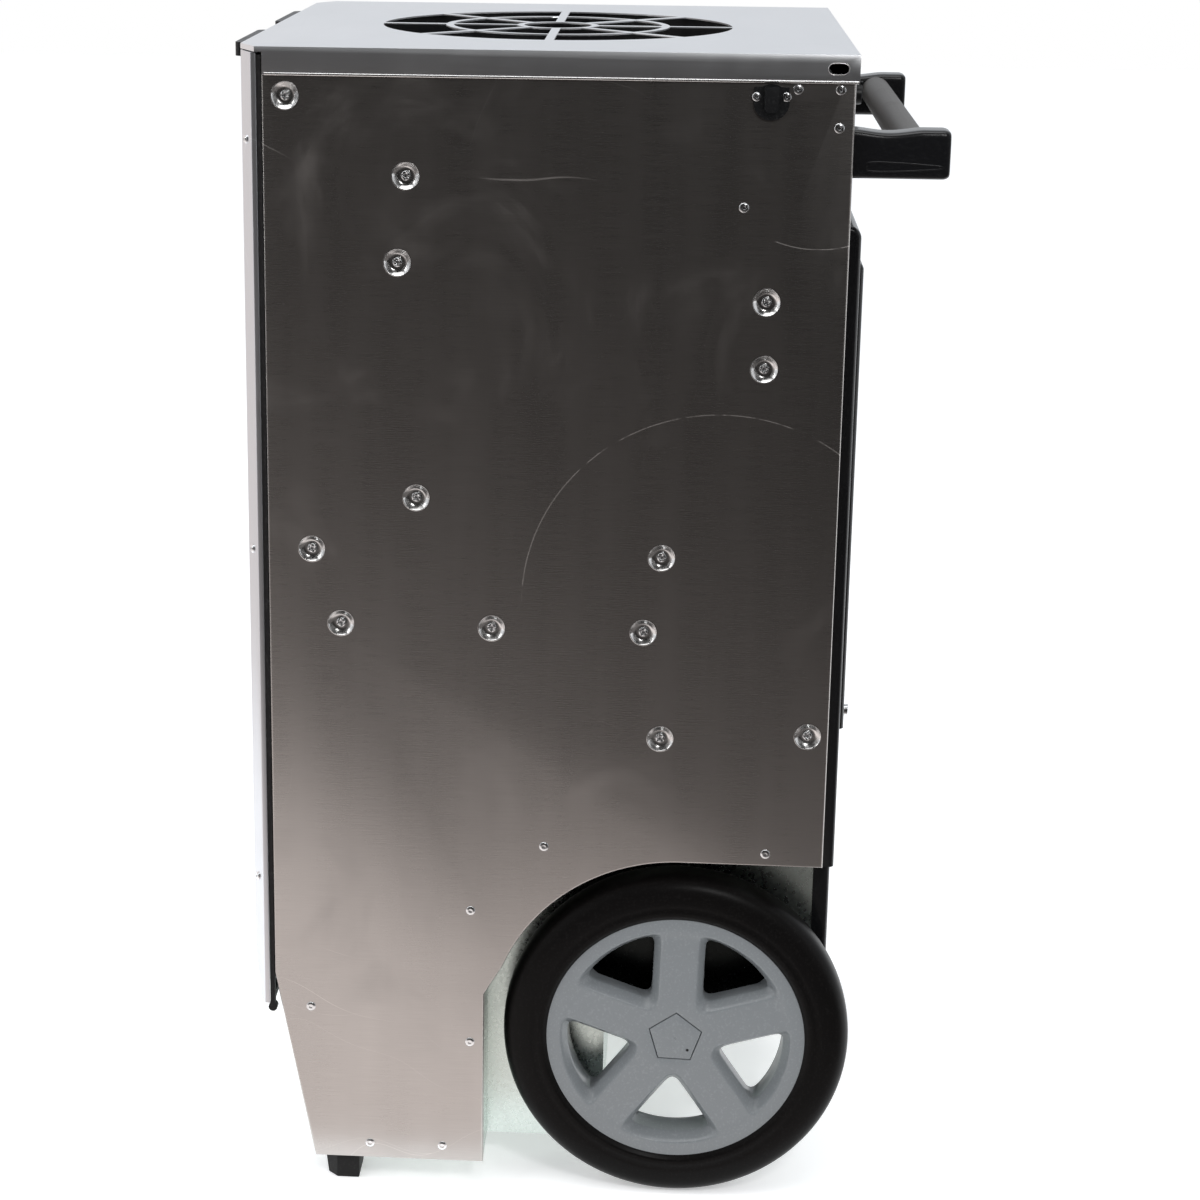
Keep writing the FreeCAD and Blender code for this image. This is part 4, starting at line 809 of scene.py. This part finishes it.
def cross_head(radius, rise, slot):
    """A pan head: a flat-topped dome, less a cross whose depth fades out along its four arms."""
    radii = radius * np.sin(np.linspace(0.5, 0.002, 15) * np.pi)

    def height(x, y, r):
        dome = rise * np.sqrt(np.clip(1 - (r / radius) ** 4, 0, 1))
        narrow, long_ = np.minimum(abs(x), abs(y)), np.maximum(abs(x), abs(y))
        arm = np.clip(1.6 - narrow / slot, 0, 1) * np.clip(1.5 - long_ / (radius * 0.55), 0, 1)
        return dome - arm * rise * 0.62
    return disc_field(radii, height, 48)


def rivet_head(radius):
    """A blind rivet: domed flange, raised lip round the mandrel's hollow, and the mandrel's broken end."""
    profile = np.array([(1.0, 0.0), (0.98, 0.10), (0.86, 0.17), (0.62, 0.26), (0.46, 0.30), (0.38, 0.28),
                        (0.32, 0.12), (0.22, 0.09), (0.001, 0.11)]) * radius
    return turned(profile, 28)


def spread(shape, base, centres, side, x, turns=None):
    """Copies one grid to every centre on a side panel; each copy is turned by its own angle about its axis."""
    for k, (y, z) in enumerate(centres):
        a = (turns or (lambda n: 0.0))(k)
        c, s = math.cos(a), math.sin(a)
        spun = np.stack([base[..., 0] * c - base[..., 1] * s, base[..., 0] * s + base[..., 1] * c, base[..., 2]], -1)
        shape.grid(facing(spun, side) + np.array([side * x, y, z]), close_columns=True)
    return shape


bowl, head, dome = pressed_bowl(), cross_head(5.4 * MM, 3.3 * MM, 0.75 * MM), rivet_head(4.8 * MM)
seats = DIMPLES + np.array([FRONT, 0.0])
studs = RIVETS + np.array([FRONT, 0.0])
lid_hem_steel = bare_metal("hem_steel", (0.80, 0.79, 0.78), 0.24, 0.08)
bright_press = bare_metal("pressed_bright_steel", (0.80, 0.79, 0.78), 0.17, 0.08)
for side, hand in ((1, "right"), (-1, "left")):
    spread(Shape(), bowl, seats, side, HALF).make(
        "pressed_seats_" + hand, "side_panel_" + hand, bright_press, smooth=60.0, facing=(side, 0, 0))
heads, domes = Shape(), Shape()
for side in (1, -1):
    spread(heads, head, seats, side, HALF - SEAT_DEPTH, lambda k: 1.3 * k)
    spread(domes, dome, studs, side, HALF)
inlet_y, inlet_z = FRONT + 0.473, 1.131
spread(domes, dome * 0.9, [(inlet_y - 0.0137, inlet_z), (inlet_y + 0.0137, inlet_z)], 1, HALF + 2.5 * MM)
heads.make("cross_head_screws", "panel_screws", bright_zinc, ["panel_screws"], smooth=35.0)
domes.make("blind_rivets", "panel_rivets", bright_zinc, ["panel_rivets"], smooth=50.0)

# %% [markdown]
# ## Wheels
# The hub is a moulding: a rim ring, five spokes and a boss, with a rounded window between each two spokes. Five
# equal cells make it, and in each a grid runs from the cell's border over the face, down the window's bevel and
# wall, and back under. The tyre is one bulged section turned about the axle.

# %% Hub measures, in metres about the wheel's own axis
RIM, CELL = 131 * MM, math.radians(36)
HALF_SPOKE, WINDOW_OUT, WINDOW_IN = 26 * MM, 110 * MM, 45 * MM
MIDDLE, BOSS, CORNER = 84 * MM, 35 * MM, 3.2 * MM
FACE, RING_RISE, BACK = 22.2 * MM, 1.1 * MM, -6 * MM
CAP_RADIUS, SEAT_FLOOR = 28.4 * MM, 17.5 * MM
SPOKE_TURN = math.radians(-1.5)
BISECTIONS = 36


def window_reach(direction, offset):
    """Distance from the window's middle, in each direction, to the rounded outline spread by an offset: the
    smooth maximum of the four limits (two spokes, rim and boss) equals the offset there, found by bisection."""
    near, far = np.zeros_like(direction), np.full_like(direction, 0.09)
    for _ in range(BISECTIONS):
        t = (near + far) / 2
        x, y = MIDDLE + t * np.cos(direction), t * np.sin(direction)
        r = np.hypot(x, y)
        limits = np.stack([HALF_SPOKE - (x * math.sin(CELL) - y * math.cos(CELL)),
                           HALF_SPOKE - (x * math.sin(CELL) + y * math.cos(CELL)), r - WINDOW_OUT, WINDOW_IN - r])
        outside = CORNER * np.log(np.exp(limits / CORNER).sum(0)) > offset
        near, far = np.where(outside, near, t), np.where(outside, t, far)
    return near


def border_reach(direction):
    """Distance from the window's middle to the cell's border: rim circle, boss circle or a spoke's middle line."""
    c, s = np.cos(direction), np.sin(direction)
    rim = -MIDDLE * c + np.sqrt(RIM ** 2 - (MIDDLE * s) ** 2)
    inside = BOSS ** 2 - (MIDDLE * s) ** 2
    boss = np.where((inside > 0) & (c < 0), -MIDDLE * c - np.sqrt(np.maximum(inside, 0)), 1.0)
    lean = np.sin(abs(direction) - CELL)
    side = np.where(lean > 1e-6, MIDDLE * math.sin(CELL) / np.maximum(lean, 1e-6), 1.0)
    return np.minimum(np.minimum(rim, boss), side)


def ease(value, low, high):
    """The smooth step 3t^2 - 2t^3 between two limits."""
    t = np.clip((value - low) / (high - low), 0, 1)
    return t * t * (3 - 2 * t)


def hub_cell():
    """One cell as a grid: rows go border, face, rounded brow, bevel, wall, back edge, back face, border."""
    rim_turn = math.atan2(RIM * math.sin(CELL), RIM * math.cos(CELL) - MIDDLE)
    boss_turn = math.atan2(BOSS * math.sin(CELL), BOSS * math.cos(CELL) - MIDDLE)
    upper = np.concatenate([np.linspace(0, rim_turn, 19)[:-1], np.linspace(rim_turn, boss_turn, 33)[:-1],
                            np.linspace(boss_turn, math.pi, 8)])
    direction = np.concatenate([upper, -upper[-2:0:-1]])
    border = border_reach(direction)
    brow = [(8.6, 0.0), (8.0, -0.06), (7.4, -0.28), (6.9, -0.7), (6.4, -1.3)]
    slope = [(4.6, -4.0), (2.6, -7.4), (1.0, -10.2), (0.35, -11.6), (0.05, -13.2)]
    rows = []
    start = window_reach(direction, brow[0][0] * MM)

    def point(t, z):
        return np.stack([MIDDLE + t * np.cos(direction), t * np.sin(direction), z + 0 * t], -1)

    def face(r):
        return FACE + RING_RISE * ease(r, 113 * MM, 116 * MM)

    def back(r):
        return BACK - 14 * MM * ease(r, 96 * MM, 114 * MM)

    def laid(t, height, drop=0.0):
        row = point(t, 0)
        row[..., 2] = height(np.hypot(row[..., 0], row[..., 1])) + drop
        return row

    for share in np.linspace(1, 0, 12)[:-1]:
        rows.append(laid(start + (border - start) * share, face))
    for offset, drop in brow + slope:
        rows.append(laid(window_reach(direction, offset * MM), face, drop * MM))
    wall = window_reach(direction, 0.0)
    floor_z = back(np.hypot(*point(wall, 0)[..., :2].T))
    for share in (0.5, 0.96):
        rows.append(point(wall, 8 * MM + (floor_z - 8 * MM) * share))
    edge = window_reach(direction, 1.0 * MM)
    for share in np.linspace(0, 1, 8):
        rows.append(laid(edge + (border - edge) * share, back))
    return np.stack(rows)


def turned_by(points, angle):
    """Turns points about the wheel's axis."""
    c, s = math.cos(angle), math.sin(angle)
    return np.stack([points[..., 0] * c - points[..., 1] * s, points[..., 0] * s + points[..., 1] * c,
                     points[..., 2]], -1)


def on_wheel(points, side):
    """Places points made about +Z, outer face up, as the wheel on one side."""
    return np.stack([side * (WHEEL_X + points[..., 2]), AXLE_Y + points[..., 1], AXLE_Z - points[..., 0]], -1)


def wheel_hub(side, name, node):
    """Five turned cells, the rim's outer wall, and the boss with its five-sided seat and bore."""
    cell = hub_cell()
    shape = Shape()
    rim_part = abs(np.hypot(cell[0, :, 0], cell[0, :, 1]) - RIM) < 1e-7
    boss_part = abs(np.hypot(cell[0, :, 0], cell[0, :, 1]) - BOSS) < 1e-7
    rim_angle = np.sort(np.arctan2(cell[0, rim_part, 1], cell[0, rim_part, 0]))
    boss_angle = np.sort(np.arctan2(cell[0, boss_part, 1], cell[0, boss_part, 0]))
    centres = [math.pi + CELL * (2 * k + 1) + SPOKE_TURN for k in range(5)]
    for angle in centres:
        shape.grid(on_wheel(turned_by(cell, angle), side), close_columns=True)

    def ring(angles, radius, z):
        around = np.concatenate([angles[:-1] + centre for centre in centres])
        r = radius(np.tile(angles[:-1], 5)) if callable(radius) else radius
        return np.stack([r * np.cos(around), r * np.sin(around), z + 0 * around], -1)

    def pentagon(angles):
        return CAP_RADIUS * math.cos(CELL) / np.cos(angles)

    rim_rows = [(RIM, FACE + RING_RISE), (RIM, BACK - 14 * MM)]
    shape.grid(on_wheel(np.stack([ring(rim_angle, r, z) for r, z in rim_rows]), side), close_columns=True)
    boss_rows = [(BOSS, FACE), (lambda a: pentagon(a) + 1.2 * MM, FACE),
                 (lambda a: pentagon(a) + 0.3 * MM, FACE - 0.3 * MM), (pentagon, FACE - 1.2 * MM),
                 (pentagon, SEAT_FLOOR), (18 * MM, SEAT_FLOOR), (18 * MM, 14 * MM), (13 * MM, 14 * MM),
                 (13 * MM, -26 * MM), (30 * MM, -26 * MM), (30 * MM, -8 * MM), (32 * MM, BACK), (BOSS, BACK)]
    shape.grid(on_wheel(np.stack([ring(boss_angle, r, z) for r, z in boss_rows]), side), close_columns=True)
    return shape.make(name, node, wheel_grey, [node], smooth=32.0)


def tyre(side, name, node):
    """A bulged section, a rounded box whose curve is |r'|^2.7 + |z'|^2.7 = 1, with a moulding line, turned."""
    a = np.linspace(0, 2 * np.pi, 121)
    power = 2 / 2.7
    r = 146.5 * MM + 29.5 * MM * powered(np.cos(a), power)
    z = 28 * MM * powered(np.sin(a), power)
    line = np.exp(-((r - 143.5 * MM) / (1.1 * MM)) ** 2)
    bead = ease(r, 136 * MM, 131 * MM)
    z = z * (1 - 0.035 * line - 0.10 * bead)
    profile = np.stack([np.maximum(r, RIM + 0.05 * MM), z], -1)
    rows = turned(profile[:-1], 144)
    return Shape().grid(on_wheel(rows, side), close_rows=True, close_columns=True).make(
        name, node, tyre_black, [node], smooth=60.0)


def hub_cap(side, name, node):
    """A five-sided plate with a rounded border; the hole where it is prised off is a separate small black disc,
    painted shade.
    """
    angles = np.concatenate([np.linspace(-CELL, CELL, 9)[:-1] + math.pi + CELL * (2 * k + 1) for k in range(5)])
    local = np.tile(np.linspace(-CELL, CELL, 9)[:-1], 5)
    reach = 27.5 * MM * math.cos(CELL) / np.cos(local)
    rows = [(1.0, SEAT_FLOOR + 0.3 * MM), (1.0, FACE - 0.2 * MM), (0.985, FACE + 0.25 * MM), (0.95, FACE + 0.4 * MM),
            (0.5, FACE + 0.5 * MM), (0.02, FACE + 0.5 * MM)]
    points = np.stack([np.stack([reach * k * np.cos(angles), reach * k * np.sin(angles), z + 0 * angles], -1)
                       for k, z in rows])
    return Shape().grid(on_wheel(turned_by(points, SPOKE_TURN), side), close_columns=True).make(
        name, node, wheel_grey, [node], smooth=40.0)


for side, hand in ((1, "right"), (-1, "left")):
    wheel_hub(side, "spoked_hub_" + hand, "wheel_hub_" + hand)
    tyre(side, "foam_tyre_" + hand, "tyre_" + hand)
    hub_cap(side, "centre_cap_" + hand, "hub_cap_" + hand)
    # The prising hole is a small raised black disc on the cap: its black is painted shade for the hole
    dot = turned(np.array([(1.5, -0.2), (1.5, 0.62), (0.001, 0.64)]) * MM, 20) + np.array([12 * MM, 13 * MM, FACE])
    Shape().grid(on_wheel(turned_by(dot, SPOKE_TURN), side), close_columns=True).make(
        "prising_hole_painted_shade_" + hand, "hub_cap_" + hand, rubber)

# %% [markdown]
# ## Handle brackets
# Each bracket is one glossy moulding with a waisted top. Its section is a rounded box that changes height along
# the arm, so it is lofted: one superellipse section is carried from the casing to the rounded tip.


# %% Lofted brackets
arm_low, arm_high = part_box("handle_bracket_right")


def bracket(side, name, node):
    """Sections |x'|^7 + |z'|^7 = 1 along Y; the top dips in a cosine, and the tip shrinks as a quarter circle."""
    start, end = arm_low.y + 0.0022, arm_high.y
    round_tip = 7 * MM
    along_y = np.concatenate([np.linspace(start, end - round_tip, 22)[:-1],
                              end - round_tip + round_tip * np.sin(np.linspace(0, np.pi / 2, 10))])
    shrink = np.sqrt(np.clip(1 - ((along_y - (end - round_tip)) / round_tip).clip(0) ** 2, 0, 1)) * 0.16 + 0.84
    shrink = np.where(along_y > end - round_tip, shrink, 1.0)
    share = (along_y - start) / (end - start)
    dip = 3.2 * MM * np.sin(np.clip(share / 0.72, 0, 1) * np.pi) ** 1.5
    top, bottom = arm_high.z - dip, np.full_like(dip, arm_low.z)
    half_z, middle_z = (top - bottom) / 2, (top + bottom) / 2
    half_x, middle_x = (arm_high.x - arm_low.x) / 2, (arm_high.x + arm_low.x) / 2
    a = np.linspace(0, 2 * np.pi, 73)[:-1]
    cx, cz = powered(np.cos(a), 2 / 7), powered(np.sin(a), 2 / 7)
    x = side * (middle_x + half_x * shrink[:, None] * cx)
    z = middle_z[:, None] + half_z[:, None] * shrink[:, None] * cz
    rows = np.stack([x, along_y[:, None] + 0 * x, z], -1)
    return Shape().grid(rows, close_columns=True).fan(rows[0]).fan(rows[-1]).make(
        name, node, black_gloss, [node], smooth=55.0)


def beading(path, radius, name, like, material, closed=False):
    """A round bead carried along a path: each point gets a circle across the path's own direction there."""
    ahead = np.gradient(path, axis=0)
    ahead /= np.linalg.norm(ahead, axis=1, keepdims=True)
    across = np.array([1.0, 0.0, 0.0]) - ahead * ahead[:, :1]
    across /= np.linalg.norm(across, axis=1, keepdims=True)
    third = np.cross(ahead, across)
    a = np.linspace(0, 2 * np.pi, 13)[:-1]
    rows = path[:, None] + radius * (across[:, None] * np.cos(a)[:, None] + third[:, None] * np.sin(a)[:, None])
    shape = Shape().grid(rows, close_rows=closed, close_columns=True)
    if not closed:
        shape.fan(rows[0]).fan(rows[-1])
    return shape.make(name, like, material, smooth=80.0)


def lozenge(side, name, node):
    """A closed bead on the bracket's outer face: a straight lower run, and an upper run that falls to meet it."""
    t = np.linspace(0, 2 * np.pi, 65)[:-1]
    y = arm_low.y + 0.050 + 0.035 * np.cos(t)
    half = (3.6 - 1.9 * np.cos(t)) * MM
    z = arm_low.z + 12 * MM + half * powered(np.sin(t), 0.35)
    x = np.full_like(y, side * (arm_high.x - 0.35 * MM))
    return beading(np.stack([x, y, z], -1), 0.75 * MM, name, node, black_gloss, closed=True)


for side, hand in ((1, "right"), (-1, "left")):
    bracket(side, "moulded_bracket_" + hand, "handle_bracket_" + hand)
    lozenge(side, "bracket_moulding_line_" + hand, "handle_bracket_" + hand)

# %% [markdown]
# ## The lid's hem
# The lower edge of the lid's flange is folded back on itself. The fold makes a round, bright hem along each
# side, so it is a bead carried along the flange's edge. The slot for a lashing strap gets a thin bright rim.

# %% Hem and slot rims
HEM_STEPS, HEM_RADIUS, RIM_RADIUS = 40, 1.5 * MM, 0.5 * MM
for side, hand in ((1, "right"), (-1, "left")):
    hem_x = side * (lid_high.x - 0.2 * MM)
    run = np.stack([np.full(HEM_STEPS, hem_x), np.linspace(FRONT + 0.003, lid_high.y - 1 * MM, HEM_STEPS),
                    np.full(HEM_STEPS, LID_BOTTOM + 1 * MM)], -1)
    beading(run, HEM_RADIUS, "lid_hem_" + hand, "top_lid", lid_hem_steel)
    t = np.linspace(0, 2 * np.pi, HEM_STEPS + 1)[:-1]
    rim_y = FRONT + 0.5335 + 4.5 * MM * np.tanh(3 * np.cos(t)) + 5.2 * MM * np.cos(t)
    rim_z = SLOT_Z + 5.3 * MM * np.sin(t)
    beading(np.stack([np.full(HEM_STEPS, side * (lid_high.x + 0.1 * MM)), rim_y, rim_z], -1), RIM_RADIUS,
            "slot_rim_" + hand, "top_lid", lid_hem_steel, closed=True)
